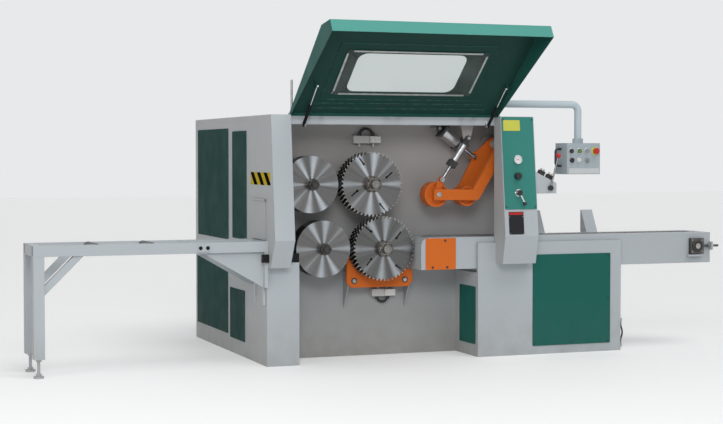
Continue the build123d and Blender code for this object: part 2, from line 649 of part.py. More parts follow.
def blade_y(number):
    """The front and back faces of one blade of a stack."""
    front = BLADE_FRONT_Y + number * BLADE_PITCH
    return front, front + BLADE_T


def arbor(axis, shaft_r, sleeve_r, clamp_r, tail_y):
    """A shaft with its shoulder, the sleeves between the blades, and the clamping nut in front."""
    bore = shaft_r + FIT
    clamp_front = BLADE_FRONT_Y - CLAMP_T
    nut_front = clamp_front - NUT_T
    shaft_y(axis, (nut_front - SHAFT_END, tail_y), shaft_r)
    shaft_y(axis, (STACK_BACK_Y + FIT, STACK_BACK_Y + COLLAR_T), clamp_r)
    for number in range(BLADES - 1):
        ring_y(axis, (blade_y(number)[1] + FIT, blade_y(number + 1)[0] - FIT), sleeve_r, bore)
    ring_y(axis, (clamp_front, BLADE_FRONT_Y - FIT), clamp_r, bore)
    with BuildSketch(at_y(clamp_front)) as nut:
        with Locations(axis):
            RegularPolygon(min(NUT_AF / 2, clamp_r - SIDE_GAP), 6, major_radius=False)
            Circle(bore, mode=Mode.SUBTRACT)
    extrude(nut.sketch, amount=NUT_T)


RAKER_PAIRS = ((142, 0), (176, 90))
RAKER_L = 56
RAKER_W = 12
RAKER_TURN = 13


def saw_stack(axis, turn):
    """The toothed blades of one arbor, with short raker slots."""
    pitch = 2 * pi / TEETH
    points = []
    for tooth in range(TEETH):
        for share, radius in ((0, SAW_R - TOOTH_DEPTH), (0.2, SAW_R), (0.5, SAW_R - TOOTH_DEPTH / 4)):
            angle = (tooth + share) * pitch
            points.append((axis[0] + radius * cos(angle), axis[1] + radius * sin(angle)))
    for number in range(BLADES):
        with BuildSketch(at_y(blade_y(number)[1])) as blade:
            with BuildLine():
                Polyline(*points, close=True)
            make_face()
            with Locations(axis):
                Circle(ARBOR_R + FIT, mode=Mode.SUBTRACT)
                for raker_r, ahead in RAKER_PAIRS:
                    with PolarLocations(raker_r, 2, start_angle=turn + ahead):
                        SlotOverall(RAKER_L, RAKER_W, rotation=RAKER_TURN, mode=Mode.SUBTRACT)
        extrude(blade.sketch, amount=BLADE_T)


SAW_TAIL_Y = MOTOR_FACE_Y - SIDE_GAP

with BuildPart() as upper_arbor:
    arbor(UPPER_SAW, ARBOR_R, SPACER_R, CLAMP_R, SAW_TAIL_Y)
keep(upper_arbor, "upper_arbor")

with BuildPart() as lower_arbor:
    arbor(LOWER_SAW, ARBOR_R, SPACER_R, CLAMP_R, SAW_TAIL_Y)
keep(lower_arbor, "lower_arbor")

with BuildPart() as upper_saw_blades:
    saw_stack(UPPER_SAW, 26)
keep(upper_saw_blades, "upper_saw_blades")

with BuildPart() as lower_saw_blades:
    saw_stack(LOWER_SAW, 40)
keep(lower_saw_blades, "lower_saw_blades")

DISC_TAIL_Y = PLATE_BACK + DISC_HOUSING_TAIL - SIDE_GAP

for name, axis in (("upper_disc", UPPER_DISC), ("lower_disc", LOWER_DISC)):
    with BuildPart() as disc:
        arbor(axis, DISC_ARBOR_R, DISC_CLAMP_R, DISC_CLAMP_R, DISC_TAIL_Y)
        for number in range(BLADES):
            ring_y(axis, blade_y(number), DISC_R, DISC_ARBOR_R + FIT)
    keep(disc, name)

HOUSING_FRONT_Y = STACK_BACK_Y + COLLAR_T + SIDE_GAP

with BuildPart() as arbor_housings:
    bores = [(axis, ARBOR_R, MOTOR_FACE_Y) for axis in SAW_AXES]
    bores += [(axis, DISC_ARBOR_R, PLATE_BACK + DISC_HOUSING_TAIL) for axis in DISC_AXES]
    for axis, shaft_r, tail_y in bores:
        shaft_y(axis, (HOUSING_FRONT_Y, tail_y), HOUSING_R)
        shaft_y(axis, (PLATE_FRONT - HOUSING_FLANGE_T, PLATE_FRONT), HOUSING_FLANGE_R)
        shaft_y(axis, (HOUSING_FRONT_Y, tail_y), shaft_r + FIT, Mode.SUBTRACT)
keep(arbor_housings, "arbor_housings")

MOTOR_FLANGE_T = 18
MOTOR_FLANGE_EDGE = 20
TERMINAL_BOX = 110
FEED_MOTOR_R = 62
FEED_MOTOR_L = 190

with BuildPart() as drive_motors:
    for axis in SAW_AXES:
        shaft_y(axis, (MOTOR_FACE_Y, MOTOR_FACE_Y + MOTOR_FLANGE_T), MOTOR_R + MOTOR_FLANGE_EDGE)
        shaft_y(axis, (MOTOR_FACE_Y, MOTOR_FACE_Y + MOTOR_L), MOTOR_R)
        middle_y = MOTOR_FACE_Y + MOTOR_L / 2
        half_box = TERMINAL_BOX / 2
        block((axis[0], axis[0] + MOTOR_R + half_box), (middle_y - half_box, middle_y + half_box),
              (axis[1] - half_box, axis[1] + half_box))
    drive_axis = (DRIVE_X, CHAIN_Z)
    gear_y = (PLATE_BACK, PLATE_BACK + GEARBOX_L)
    half_gear = GEARBOX_H / 2
    block((DRIVE_X - half_gear, DRIVE_X + half_gear), gear_y, (CHAIN_Z - half_gear, CHAIN_Z + half_gear))
    shaft_y(drive_axis, (gear_y[1], gear_y[1] + FEED_MOTOR_L), FEED_MOTOR_R)
    shaft_y(drive_axis, (gear_y[0], gear_y[1] - SHAFT_END + SIDE_GAP), SPROCKET_SHAFT_R + FIT, Mode.SUBTRACT)
keep(drive_motors, "drive_motors")

# Blade cooling sprays on the back plate
SPRAY_DEPTH = 44
SPRAY_H = 52
SPRAY_SHARE = 0.776
NOZZLE_R = 8
NOZZLE_L = 26
NOZZLE_INSET = 50
HOSE_R = 9
UPPER_HOSE_R = 50
LOWER_HOSE_R = 40
# The upper bar hangs at a share of the free height between the saw's flange and the roof
FLANGE_TOP = UPPER_SAW[1] + HOUSING_FLANGE_R
SPRAY_ROOM = ROOF_UNDER - FLANGE_TOP - NOZZLE_L - SPRAY_H - UPPER_HOSE_R - HOSE_R
UPPER_SPRAY_Z = FLANGE_TOP + NOZZLE_L + SPRAY_SHARE * SPRAY_ROOM
UPPER_SPRAY = ((-231, -27), (UPPER_SPRAY_Z, UPPER_SPRAY_Z + SPRAY_H))
LOWER_SPRAY = ((-93, 77), (418, 418 + SPRAY_H))
SPRAY_Y = (PLATE_FRONT - SPRAY_DEPTH, PLATE_FRONT)
HOSE_Y = sum(SPRAY_Y) / 2

with BuildPart() as spray_bars:
    for (width, height), end, way in ((UPPER_SPRAY, UPPER_SPRAY[1][0], -1),
                                      (LOWER_SPRAY, LOWER_SPRAY[1][1], 1)):
        block(width, SPRAY_Y, height)
        for x in (width[0] + NOZZLE_INSET, width[1] - NOZZLE_INSET):
            rod((x, HOSE_Y, end), (x, HOSE_Y, end + way * NOZZLE_L), NOZZLE_R)
keep(spray_bars, "spray_bars")

with BuildPart() as spray_hoses:
    for (width, height), end, radius, start in ((UPPER_SPRAY, UPPER_SPRAY[1][1], UPPER_HOSE_R, 0),
                                                (LOWER_SPRAY, LOWER_SPRAY[1][0], LOWER_HOSE_R, 180)):
        middle_x = sum(width) / 2
        with BuildLine(at_y(HOSE_Y)) as hose_line:
            CenterArc((middle_x, end), radius, start, 180)
        with BuildSketch(Plane(origin=hose_line.line @ 0, z_dir=hose_line.line % 0)) as hose:
            Circle(HOSE_R)
        sweep(hose.sketch, path=hose_line.wires()[0])
keep(spray_hoses, "spray_hoses")

# Press unit: two arms on one pivot shaft, each with a roller and an air cylinder
PRESS_PIVOT = (RIGHT - 140, CABINET_H - 190)
PIVOT_R = 25
HUB_R = 50
PIVOT_COLLAR_R = 40
FRONT_ARM_Y = (-856, -816)
REAR_ARM_Y = (-704, -664)
REAR_WEB_Y = (-684, -664)
ARM_WIDTH = 75
FRONT_ROLLER_R = 88
REAR_ROLLER_R = 70
AXLE_R = 18
AXLE_CAP_R = 27
AXLE_CAP_T = 6
PRESS_ROLLER_W = 92
LUG_R = 22
LUG_T = 12
EYE_T = 28
EYE_R = 18
ANCHOR_PIN_R = 12
PRESS_ROLLER_Y = (LOG_Y - PRESS_ROLLER_W / 2, LOG_Y + PRESS_ROLLER_W / 2)
FRONT_LUG_Y = (FRONT_ARM_Y[1] - LUG_T, FRONT_ARM_Y[1])
FRONT_EYE_Y = (FRONT_LUG_Y[0] - SIDE_GAP - EYE_T, FRONT_LUG_Y[0] - SIDE_GAP)
REAR_EYE_Y = (REAR_WEB_Y[0] - SIDE_GAP - EYE_T, REAR_WEB_Y[0] - SIDE_GAP)
HANGER_T = 14
HANGER_Y = (FRONT_EYE_Y[1] + SIDE_GAP, FRONT_EYE_Y[1] + SIDE_GAP + HANGER_T)
HANGER_TOP_W = 110


def from_pivot(across, up):
    """A point (x, z) given from the press arms' pivot."""
    return PRESS_PIVOT[0] + across, PRESS_PIVOT[1] + up


ELBOW = from_pivot(-221, -358)
FRONT_AXLE = from_pivot(-501, -354)
REAR_AXLE = from_pivot(-266, -368)
FRONT_ANCHOR = from_pivot(-275, 40)
FRONT_LUG = from_pivot(-476, -249)
REAR_ANCHOR = from_pivot(-435, 110)
REAR_LUG = from_pivot(-165, -90)


def bar(start, end, width):
    """A rectangle along the line between two points of a sketch."""
    along = (end[0] - start[0], end[1] - start[1])
    middle = ((start[0] + end[0]) / 2, (start[1] + end[1]) / 2)
    with Locations(middle):
        Rectangle(hypot(*along), width, rotation=degrees(atan2(along[1], along[0])))


def axle(axis, root_y, roller_y):
    """A roller's axle on an arm, from its root past the roller to the end cap."""
    way = 1 if roller_y > root_y else -1
    cap = roller_y + way * GAP
    shaft_y(axis, sorted((root_y, cap)), AXLE_R)
    shaft_y(axis, sorted((cap, cap + way * AXLE_CAP_T)), AXLE_CAP_R)


with BuildPart() as press_mount:
    shaft_y(PRESS_PIVOT, (FRONT_ARM_Y[0] - GAP, PLATE_FRONT), PIVOT_R)
    shaft_y(PRESS_PIVOT, (REAR_ARM_Y[1] + GAP, PLATE_FRONT), PIVOT_COLLAR_R)
    shaft_y(PRESS_PIVOT, (PLATE_FRONT - HOUSING_FLANGE_T, PLATE_FRONT), HOUSING_R)
    shaft_y(PRESS_PIVOT, (FRONT_ARM_Y[1] + GAP, REAR_ARM_Y[0] - GAP), PIVOT_COLLAR_R)
    shaft_y(PRESS_PIVOT, (FRONT_ARM_Y[0] - GAP - AXLE_CAP_T, FRONT_ARM_Y[0] - GAP), PIVOT_COLLAR_R)
    shaft_y(REAR_ANCHOR, (REAR_EYE_Y[1] + SIDE_GAP, PLATE_FRONT), EYE_R)
    shaft_y(REAR_ANCHOR, (REAR_EYE_Y[0] - SIDE_GAP, PLATE_FRONT), ANCHOR_PIN_R)
    x, z = FRONT_ANCHOR
    plate(at_y(HANGER_Y[1]), [(x - HANGER_TOP_W / 2, ROOF_UNDER), (x - LUG_R, z - LUG_R),
                              (x + LUG_R, z - LUG_R), (x + HANGER_TOP_W / 2, ROOF_UNDER)], HANGER_T)
    shaft_y(FRONT_ANCHOR, (FRONT_EYE_Y[0] - SIDE_GAP, HANGER_Y[0]), ANCHOR_PIN_R)
keep(press_mount, "press_mount")

with BuildPart() as front_press_arm:
    with BuildSketch(at_y(FRONT_ARM_Y[1])):
        bar(PRESS_PIVOT, ELBOW, ARM_WIDTH)
        bar((FRONT_AXLE[0] - ARM_WIDTH / 2, FRONT_AXLE[1]), ELBOW, ARM_WIDTH)
        with Locations(PRESS_PIVOT):
            Circle(HUB_R)
        with Locations(ELBOW):
            Circle(ARM_WIDTH / 2)
    extrude(amount=FRONT_ARM_Y[1] - FRONT_ARM_Y[0])
    with BuildSketch(at_y(FRONT_LUG_Y[1])):
        bar(FRONT_AXLE, FRONT_LUG, 2 * LUG_R)
        with Locations(FRONT_LUG):
            Circle(LUG_R)
    extrude(amount=LUG_T)
    axle(FRONT_AXLE, FRONT_ARM_Y[1], PRESS_ROLLER_Y[1])
    shaft_y(PRESS_PIVOT, FRONT_ARM_Y, PIVOT_R + FIT, Mode.SUBTRACT)
keep(front_press_arm, "front_press_arm")

REAR_WEB = [(-35, 40), (-130, -50), (-195, -150), (-260, -275), (-320, -330), (-320, -395), (-220, -405),
            (-170, -350), (42, -22)]

with BuildPart() as rear_press_arm:
    with BuildSketch(at_y(REAR_WEB_Y[1])):
        with BuildLine():
            Polyline(*[from_pivot(*point) for point in REAR_WEB], close=True)
        make_face()
        bar(PRESS_PIVOT, REAR_LUG, 2 * LUG_R)
        with Locations(REAR_LUG):
            Circle(LUG_R)
    extrude(amount=REAR_WEB_Y[1] - REAR_WEB_Y[0])
    shaft_y(PRESS_PIVOT, REAR_ARM_Y, HUB_R)
    axle(REAR_AXLE, REAR_WEB_Y[0], PRESS_ROLLER_Y[0])
    shaft_y(PRESS_PIVOT, REAR_ARM_Y, PIVOT_R + FIT, Mode.SUBTRACT)
keep(rear_press_arm, "rear_press_arm")

ROLLER_RECESS = 8
ROLLER_RIM = 16

for name, axis, radius in (("front_press_roller", FRONT_AXLE, FRONT_ROLLER_R),
                           ("rear_press_roller", REAR_AXLE, REAR_ROLLER_R)):
    with BuildPart() as press_roller:
        ring_y(axis, PRESS_ROLLER_Y, radius, AXLE_R + FIT)
        for face, way in zip(PRESS_ROLLER_Y, (1, -1)):
            with BuildSketch(at_y(max(face, face + way * ROLLER_RECESS))) as recess:
                with Locations(axis):
                    Circle(radius - ROLLER_RIM)
                    Circle(AXLE_CAP_R + ROLLER_RECESS, mode=Mode.SUBTRACT)
            extrude(recess.sketch, amount=ROLLER_RECESS, mode=Mode.SUBTRACT)
    keep(press_roller, name)

# Air cylinders: lengths along the line from the anchor to the arm's lug
FRONT_CYL_R = 25
FRONT_CAP = 58
FRONT_CYL_MARKS = (60, 195, 240)
FRONT_ROD_R = 11
REAR_CYL_R = 45
REAR_CAP = 96
REAR_CYL_MARKS = (40, 166, 206)
REAR_ROD_R = 13
ROD_INSIDE = 60


def reach(anchor, lug):
    """The distance from a cylinder's anchor to the arm's lug."""
    return hypot(lug[0] - anchor[0], lug[1] - anchor[1])


def cylinder_line(anchor, lug, eye_y):
    """A cylinder's line, as a function from the distance along it to the point there."""
    middle_y = sum(eye_y) / 2
    length = reach(anchor, lug)
    step = ((lug[0] - anchor[0]) / length, (lug[1] - anchor[1]) / length)

    def along(distance):
        return (anchor[0] + step[0] * distance, middle_y, anchor[1] + step[1] * distance)

    return along


def square_cap(along, start, end, side):
    """A square end cap across a cylinder's line."""
    direction = Vector(*along(end)) - Vector(*along(start))
    with BuildSketch(Plane(origin=along(start), x_dir=(0, 1, 0), z_dir=direction)) as section:
        Rectangle(side, side)
    extrude(section.sketch, amount=end - start)


def air_cylinder(anchor, lug, eye_y, radius, cap, marks, rod_r):
    """A tube between two caps, with an eye on the anchor's pin and a bore for the rod."""
    along = cylinder_line(anchor, lug, eye_y)
    top, tube_end, end = marks
    rod(along(top), along(tube_end), radius)
    square_cap(along, top - EYE_R, top, cap)
    square_cap(along, tube_end, end, cap)
    with BuildSketch(at_y(eye_y[1])) as eye:
        bar(anchor, (along(top)[0], along(top)[2]), 2 * EYE_R)
        with Locations(anchor):
            Circle(EYE_R)
    extrude(eye.sketch, amount=EYE_T)
    shaft_y(anchor, eye_y, ANCHOR_PIN_R + FIT, Mode.SUBTRACT)
    rod(along(end - ROD_INSIDE - (tube_end - top) / 2), along(end), rod_r + FIT, Mode.SUBTRACT)


def air_rod(anchor, lug, eye_y, marks, rod_r):
    """A cylinder's rod, from inside the tube to its eye beside the arm's lug."""
    along = cylinder_line(anchor, lug, eye_y)
    rod(along(marks[2] - ROD_INSIDE), along(reach(anchor, lug) - EYE_R / 2), rod_r)
    shaft_y(lug, eye_y, EYE_R)
    shaft_y(lug, (eye_y[0] - AXLE_CAP_T, eye_y[0]), ANCHOR_PIN_R)


FRONT_CYLINDER = (FRONT_ANCHOR, FRONT_LUG, FRONT_EYE_Y)
REAR_CYLINDER = (REAR_ANCHOR, REAR_LUG, REAR_EYE_Y)

with BuildPart() as front_cylinder:
    air_cylinder(*FRONT_CYLINDER, FRONT_CYL_R, FRONT_CAP, FRONT_CYL_MARKS, FRONT_ROD_R)
keep(front_cylinder, "front_cylinder")

with BuildPart() as front_cylinder_rod:
    air_rod(*FRONT_CYLINDER, FRONT_CYL_MARKS, FRONT_ROD_R)
keep(front_cylinder_rod, "front_cylinder_rod")

with BuildPart() as rear_cylinder:
    air_cylinder(*REAR_CYLINDER, REAR_CYL_R, REAR_CAP, REAR_CYL_MARKS, REAR_ROD_R)
keep(rear_cylinder, "rear_cylinder")

with BuildPart() as rear_cylinder_rod:
    air_rod(*REAR_CYLINDER, REAR_CYL_MARKS, REAR_ROD_R)
keep(rear_cylinder_rod, "rear_cylinder_rod")

# Hood, drawn open: r runs down the main panel from the hinge line, n out of its face
HOOD_HINGE = (FRONT - 35, CABINET_H + 4)
HOOD_OPEN = radians(39.3)
HOOD_GAP = 5
HOOD_START = 14
HOOD_KNEE = 852
HOOD_LIP = (994, -86)
HOOD_FLANGE = (979, -170)
HOOD_TOP_DEPTH = 27
SHEET = 4
HOOD_X = (PILLAR_LEFT_INNER + HOOD_GAP, CONSOLE_INNER - HOOD_GAP)
WINDOW_X = (HOOD_X[0] + 327, HOOD_X[1] - 420)
WINDOW_R = (240, 610)
WINDOW_CORNER = 65
PANE_X = (HOOD_X[0] + 237, HOOD_X[1] - 284)
PANE_R = (215, 640)
PANE_T = 5
FRAME_STRIP = 14
FRAME_GAP = (45, 30)
FRAME_T = 3
BEADS_R = (60, 110)
BEAD_W = 14
BEAD_T = 5
BEAD_INSET = 120
RIB_OUT = 62
RIB_W = 10
HINGE_PIN_R = 5
KNUCKLE_R = 10
KNUCKLE_L = 60
LEAF_T = 6
HINGE_INSET = 200
STRUTS_X = (HOOD_X[0] + 110, HOOD_X[1] - 51)
STRUT_FOOT = (FRONT - 11, CABINET_H - 69)
STRUT_HEAD = (318, -29)
STRUT_EYE_T = 12
STRUT_TUBE_L = 195
STRUT_TUBE_R = 11
STRUT_ROD_R = 5
STRUT_STROKE_LEFT = 30
STRUT_PIN_R = 5
TAB_THICK = 6
TAB_ROOT = 20
TAB_TIP = 12
TAB_PAST = 13
DOWN_PANEL = (0, -cos(HOOD_OPEN), sin(HOOD_OPEN))
OUT_OF_PANEL = (0, sin(HOOD_OPEN), cos(HOOD_OPEN))
HOOD_FACE = Plane(origin=(0, *HOOD_HINGE), x_dir=(1, 0, 0), z_dir=OUT_OF_PANEL)
HINGES_X = (HOOD_X[0] + HINGE_INSET, sum(HOOD_X) / 2, HOOD_X[1] - HINGE_INSET)


def hood_section(x):
    """The plane across the hood at x, with local axes r and n; it extrudes towards -X."""
    return Plane(origin=(x, *HOOD_HINGE), x_dir=DOWN_PANEL, z_dir=(-1, 0, 0))


def hood_rectangle(x, r, corner, mode=Mode.ADD):
    """A rounded rectangle on the hood's face from its (low, high) pairs."""
    with Locations((sum(x) / 2, -sum(r) / 2)):
        RectangleRounded(x[1] - x[0], r[1] - r[0], corner, mode=mode)


def tab_x(x):
    """The hood's strut tab stands outboard of the strut at x."""
    near = STRUT_EYE_T / 2 + SIDE_GAP
    return (x - near - TAB_THICK, x - near) if x < 0 else (x + near, x + near + TAB_THICK)


with BuildPart() as hood_shell:
    plate(hood_section(HOOD_X[1]), [(HOOD_START, 0), (HOOD_KNEE, 0), HOOD_LIP, HOOD_FLANGE,
                                    (HOOD_START, -HOOD_TOP_DEPTH)], HOOD_X[1] - HOOD_X[0])
    open_r, open_n = (HOOD_START + HOOD_FLANGE[0]) / 2, (HOOD_FLANGE[1] - HOOD_TOP_DEPTH) / 2
    open_side = hood_section(sum(HOOD_X) / 2).from_local_coords((open_r, open_n, 0))
    offset(amount=-SHEET, openings=hood_shell.faces().sort_by_distance(open_side)[0])
    with BuildSketch(HOOD_FACE):
        hood_rectangle(WINDOW_X, WINDOW_R, WINDOW_CORNER)
    extrude(amount=-SHEET, mode=Mode.SUBTRACT)
    with BuildSketch(HOOD_FACE.offset(-SHEET)):
        for r in BEADS_R:
            bead_x = (HOOD_X[0] + BEAD_INSET, HOOD_X[1] - BEAD_INSET)
            hood_rectangle(bead_x, (r, r + BEAD_W), BEAD_W / 2 - GAP)
        for out, mode in ((RIB_OUT, Mode.ADD), (RIB_OUT - RIB_W, Mode.SUBTRACT)):
            hood_rectangle((PANE_X[0] - out, PANE_X[1] + out), (PANE_R[0] - out, PANE_R[1] + out),
                           COVER_CORNER, mode)
    extrude(amount=-BEAD_T)
    for x in STRUTS_X:
        head_r, head_n = STRUT_HEAD
        plate(hood_section(tab_x(x)[1]), [(head_r - TAB_ROOT, -SHEET / 2), (head_r + TAB_ROOT, -SHEET / 2),
                                          (head_r + TAB_TIP, head_n - TAB_PAST),
                                          (head_r - TAB_TIP, head_n - TAB_PAST)], TAB_THICK)
    for x in HINGES_X:
        half = KNUCKLE_L / 2
        leaf_end = HOOD_START + SHEET
        plate(hood_section(x + half), [(0, -SHEET), (leaf_end, -SHEET), (leaf_end, 0), (0, 0)], KNUCKLE_L)
        rod((x - half, *HOOD_HINGE), (x + half, *HOOD_HINGE), KNUCKLE_R)
        rod((x - half, *HOOD_HINGE), (x + half, *HOOD_HINGE), HINGE_PIN_R + FIT, Mode.SUBTRACT)
keep(hood_shell, "hood_shell")

with BuildPart() as hood_window:
    with BuildSketch(HOOD_FACE.offset(-SHEET)):
        hood_rectangle(PANE_X, PANE_R, COVER_CORNER)
    extrude(amount=-PANE_T)
keep(hood_window, "hood_window")

with BuildPart() as window_frame:
    with BuildSketch(HOOD_FACE.offset(-SHEET - PANE_T)):
        hood_rectangle(PANE_X, PANE_R, COVER_CORNER)
        hood_rectangle((PANE_X[0] + FRAME_STRIP, PANE_X[1] - FRAME_STRIP),
                       (PANE_R[0] + FRAME_STRIP, PANE_R[1] - FRAME_STRIP), COVER_CORNER, Mode.SUBTRACT)
        gap_x, gap_r = FRAME_GAP
        corner_x = (PANE_X[0] + gap_x / 2, PANE_X[1] - gap_x / 2)
        corner_r = (PANE_R[0] + gap_r / 2, PANE_R[1] - gap_r / 2)
        with Locations(*[(x, -r) for x in corner_x for r in corner_r]):
            Rectangle(gap_x, gap_r, mode=Mode.SUBTRACT)
    extrude(amount=-FRAME_T)
keep(window_frame, "window_frame")

# Fixed halves of the hinges, the struts' feet, the stay rod and the flap's pin
STAY = (LEFT + 184, FRONT + 30)
STAY_R = 8
STAY_TOP = CABINET_H + 235
STAY_BLOCK = 40
STAY_BLOCK_H = 14
LEAF_DEPTH = 60
FLAP_EAR = 13

with BuildPart() as hinge_set:
    hinge_y, hinge_z = HOOD_HINGE
    for x in HINGES_X:
        half = KNUCKLE_L / 2
        rod((x - KNUCKLE_L, hinge_y, hinge_z), (x + KNUCKLE_L, hinge_y, hinge_z), HINGE_PIN_R)
        for ends in ((x - KNUCKLE_L, x - half - GAP), (x + half + GAP, x + KNUCKLE_L)):
            ring_plane = Plane.YZ.offset(ends[0])
            with BuildSketch(ring_plane) as knuckle:
                with Locations((hinge_y, hinge_z)):
                    Circle(KNUCKLE_R)
            extrude(knuckle.sketch, amount=ends[1] - ends[0])
            block(ends, (hinge_y, FRONT + LEAF_DEPTH), (CABINET_H, CABINET_H + LEAF_T))
        block((x - KNUCKLE_L, x + KNUCKLE_L), (FRONT, FRONT + LEAF_DEPTH), (CABINET_H, CABINET_H + LEAF_T))
    foot_y, foot_z = STRUT_FOOT
    for x in STRUTS_X:
        inboard = 1 if x < 0 else -1
        near = x + inboard * (STRUT_EYE_T / 2 + SIDE_GAP)
        ear = sorted((near, near + inboard * TAB_THICK))
        round_pin = 2 * STRUT_PIN_R
        plate(at_x(ear[0]), [(FRONT, ROOF_UNDER), (foot_y - round_pin, foot_z + round_pin),
                             (foot_y - round_pin, foot_z - round_pin), (FRONT, foot_z - round_pin)],
              TAB_THICK)
        pin = sorted((near, x - inboard * (STRUT_EYE_T / 2 + SIDE_GAP)))
        rod((pin[0], foot_y, foot_z), (pin[1], foot_y, foot_z), STRUT_PIN_R)
    half_stay = STAY_BLOCK / 2
    block((STAY[0] - half_stay, STAY[0] + half_stay), (STAY[1] - half_stay, STAY[1] + half_stay),
          (CABINET_H, CABINET_H + STAY_BLOCK_H))
    rod((*STAY, CABINET_H + STAY_BLOCK_H), (*STAY, STAY_TOP), STAY_R)
    shaft_y(FLAP_AXIS, (FLAP_Y[0] - FLAP_EAR, FLAP_Y[1] + FLAP_EAR), FLAP_PIN_R)
    for ear in ((FLAP_Y[0] - FLAP_EAR, FLAP_Y[0] - SIDE_GAP), (FLAP_Y[1] + SIDE_GAP, FLAP_Y[1] + FLAP_EAR)):
        block((FLAP_AXIS[0] - FLAP_KNUCKLE_R, LEFT), ear,
              (FLAP_AXIS[1] - FLAP_KNUCKLE_R, FLAP_AXIS[1] + FLAP_KNUCKLE_R))
keep(hinge_set, "hinge_set")

# Gas struts, opened at their upper eye
STRUT_TOP = (HOOD_HINGE[0] + STRUT_HEAD[0] * DOWN_PANEL[1] + STRUT_HEAD[1] * OUT_OF_PANEL[1],
             HOOD_HINGE[1] + STRUT_HEAD[0] * DOWN_PANEL[2] + STRUT_HEAD[1] * OUT_OF_PANEL[2])
STRUT_L = hypot(STRUT_TOP[0] - STRUT_FOOT[0], STRUT_TOP[1] - STRUT_FOOT[1])
STRUT_EYE_R = 10


def strut_point(x, distance):
    """The point of a strut's line at a distance from its foot."""
    share = distance / STRUT_L
    return (x, STRUT_FOOT[0] + (STRUT_TOP[0] - STRUT_FOOT[0]) * share,
            STRUT_FOOT[1] + (STRUT_TOP[1] - STRUT_FOOT[1]) * share)


with BuildPart() as strut_cylinders:
    for x in STRUTS_X:
        half = STRUT_EYE_T / 2
        rod((x - half, *STRUT_FOOT), (x + half, *STRUT_FOOT), STRUT_EYE_R)
        rod(strut_point(x, 0), strut_point(x, 2 * STRUT_EYE_R), STRUT_PIN_R)
        rod(strut_point(x, 2 * STRUT_EYE_R), strut_point(x, STRUT_TUBE_L), STRUT_TUBE_R)
        bore_start = strut_point(x, 2 * STRUT_EYE_R + SHEET)
        rod(bore_start, strut_point(x, STRUT_TUBE_L), STRUT_ROD_R + FIT, Mode.SUBTRACT)
        rod((x - half, *STRUT_FOOT), (x + half, *STRUT_FOOT), STRUT_PIN_R + FIT, Mode.SUBTRACT)
keep(strut_cylinders, "strut_cylinders")

with BuildPart() as strut_rods:
    for x in STRUTS_X:
        half = STRUT_EYE_T / 2
        rod(strut_point(x, STRUT_TUBE_L - STRUT_STROKE_LEFT), strut_point(x, STRUT_L), STRUT_ROD_R)
        rod((x - half, *STRUT_TOP), (x + half, *STRUT_TOP), STRUT_EYE_R)
keep(strut_rods, "strut_rods")

# Console controls, standing on the sloping panel
GAUGE = (RIGHT - 143, CABINET_H - 302)
GAUGE_R = 31
GAUGE_H = 20
GAUGE_BEZEL = 4
KNOB = (RIGHT - 148, CABINET_H - 416)
KNOB_R = 24
KNOB_H = 34
KNOB_FLUTES = 12
CONSOLE_LEVER = (RIGHT - 142, CABINET_H - 531)
CONSOLE_LEVER_BALL = (RIGHT - 106, CABINET_H - 606)
LEVER_HUB_R = 18
LEVER_HUB_H = 26
LEVER_ROD_R = 6
BALL_R = 14
PANEL_FACE = SLOPE_FACE.offset(COVER_T)


def on_panel(point):
    """A point (x, z) of the sloping panel in the panel's own axes."""
    return point[0], up_slope(point[1])


with BuildPart() as pressure_gauge:
    with BuildSketch(PANEL_FACE):
        with Locations(on_panel(GAUGE)):
            Circle(GAUGE_R)
    extrude(amount=GAUGE_H)
    with BuildSketch(PANEL_FACE.offset(GAUGE_H - GAUGE_BEZEL)):
        with Locations(on_panel(GAUGE)):
            Circle(GAUGE_R - GAUGE_BEZEL)
    extrude(amount=GAUGE_BEZEL, mode=Mode.SUBTRACT)
keep(pressure_gauge, "pressure_gauge")

with BuildPart() as regulator_knob:
    with BuildSketch(PANEL_FACE.offset(GAP)):
        with Locations(on_panel(KNOB)):
            Circle(KNOB_R)
            with PolarLocations(KNOB_R + GAUGE_BEZEL / 4, KNOB_FLUTES):
                Circle(GAUGE_BEZEL, mode=Mode.SUBTRACT)
    extrude(amount=KNOB_H)
keep(regulator_knob, "regulator_knob")

with BuildPart() as console_lever:
    with BuildSketch(PANEL_FACE.offset(GAP)):
        with Locations(on_panel(CONSOLE_LEVER)):
            Circle(LEVER_HUB_R)
    extrude(amount=LEVER_HUB_H)
    lever_height = LEVER_HUB_H - LEVER_ROD_R - GAP
    lever_start = PANEL_FACE.from_local_coords((*on_panel(CONSOLE_LEVER), lever_height))
    lever_end = PANEL_FACE.from_local_coords((*on_panel(CONSOLE_LEVER_BALL), lever_height))
    rod(lever_start, lever_end, LEVER_ROD_R)
    with Locations(lever_end):
        Sphere(BALL_R)
keep(console_lever, "console_lever")

HAND_LEVER_BALL = (RIGHT + 170, CABINET_H - 271)
HAND_BALL_R = 18
HAND_HUB_T = 22

with BuildPart() as hand_lever:
    hub_y = (LEVER_BRACKET_Y[0] - GAP - HAND_HUB_T, LEVER_BRACKET_Y[0] - GAP)
    shaft_y(HAND_LEVER, hub_y, LEVER_HUB_R)
    shaft_y(HAND_LEVER, (hub_y[1], LEVER_BRACKET_Y[0] + LEVER_PIN_L - SIDE_GAP), LEVER_PIN_R)
    rod_y = sum(hub_y) / 2
    rod((HAND_LEVER[0], rod_y, HAND_LEVER[1]), (HAND_LEVER_BALL[0], rod_y, HAND_LEVER_BALL[1]), LEVER_ROD_R)
    with Locations((HAND_LEVER_BALL[0], rod_y, HAND_LEVER_BALL[1])):
        Sphere(HAND_BALL_R)
keep(hand_lever, "hand_lever")

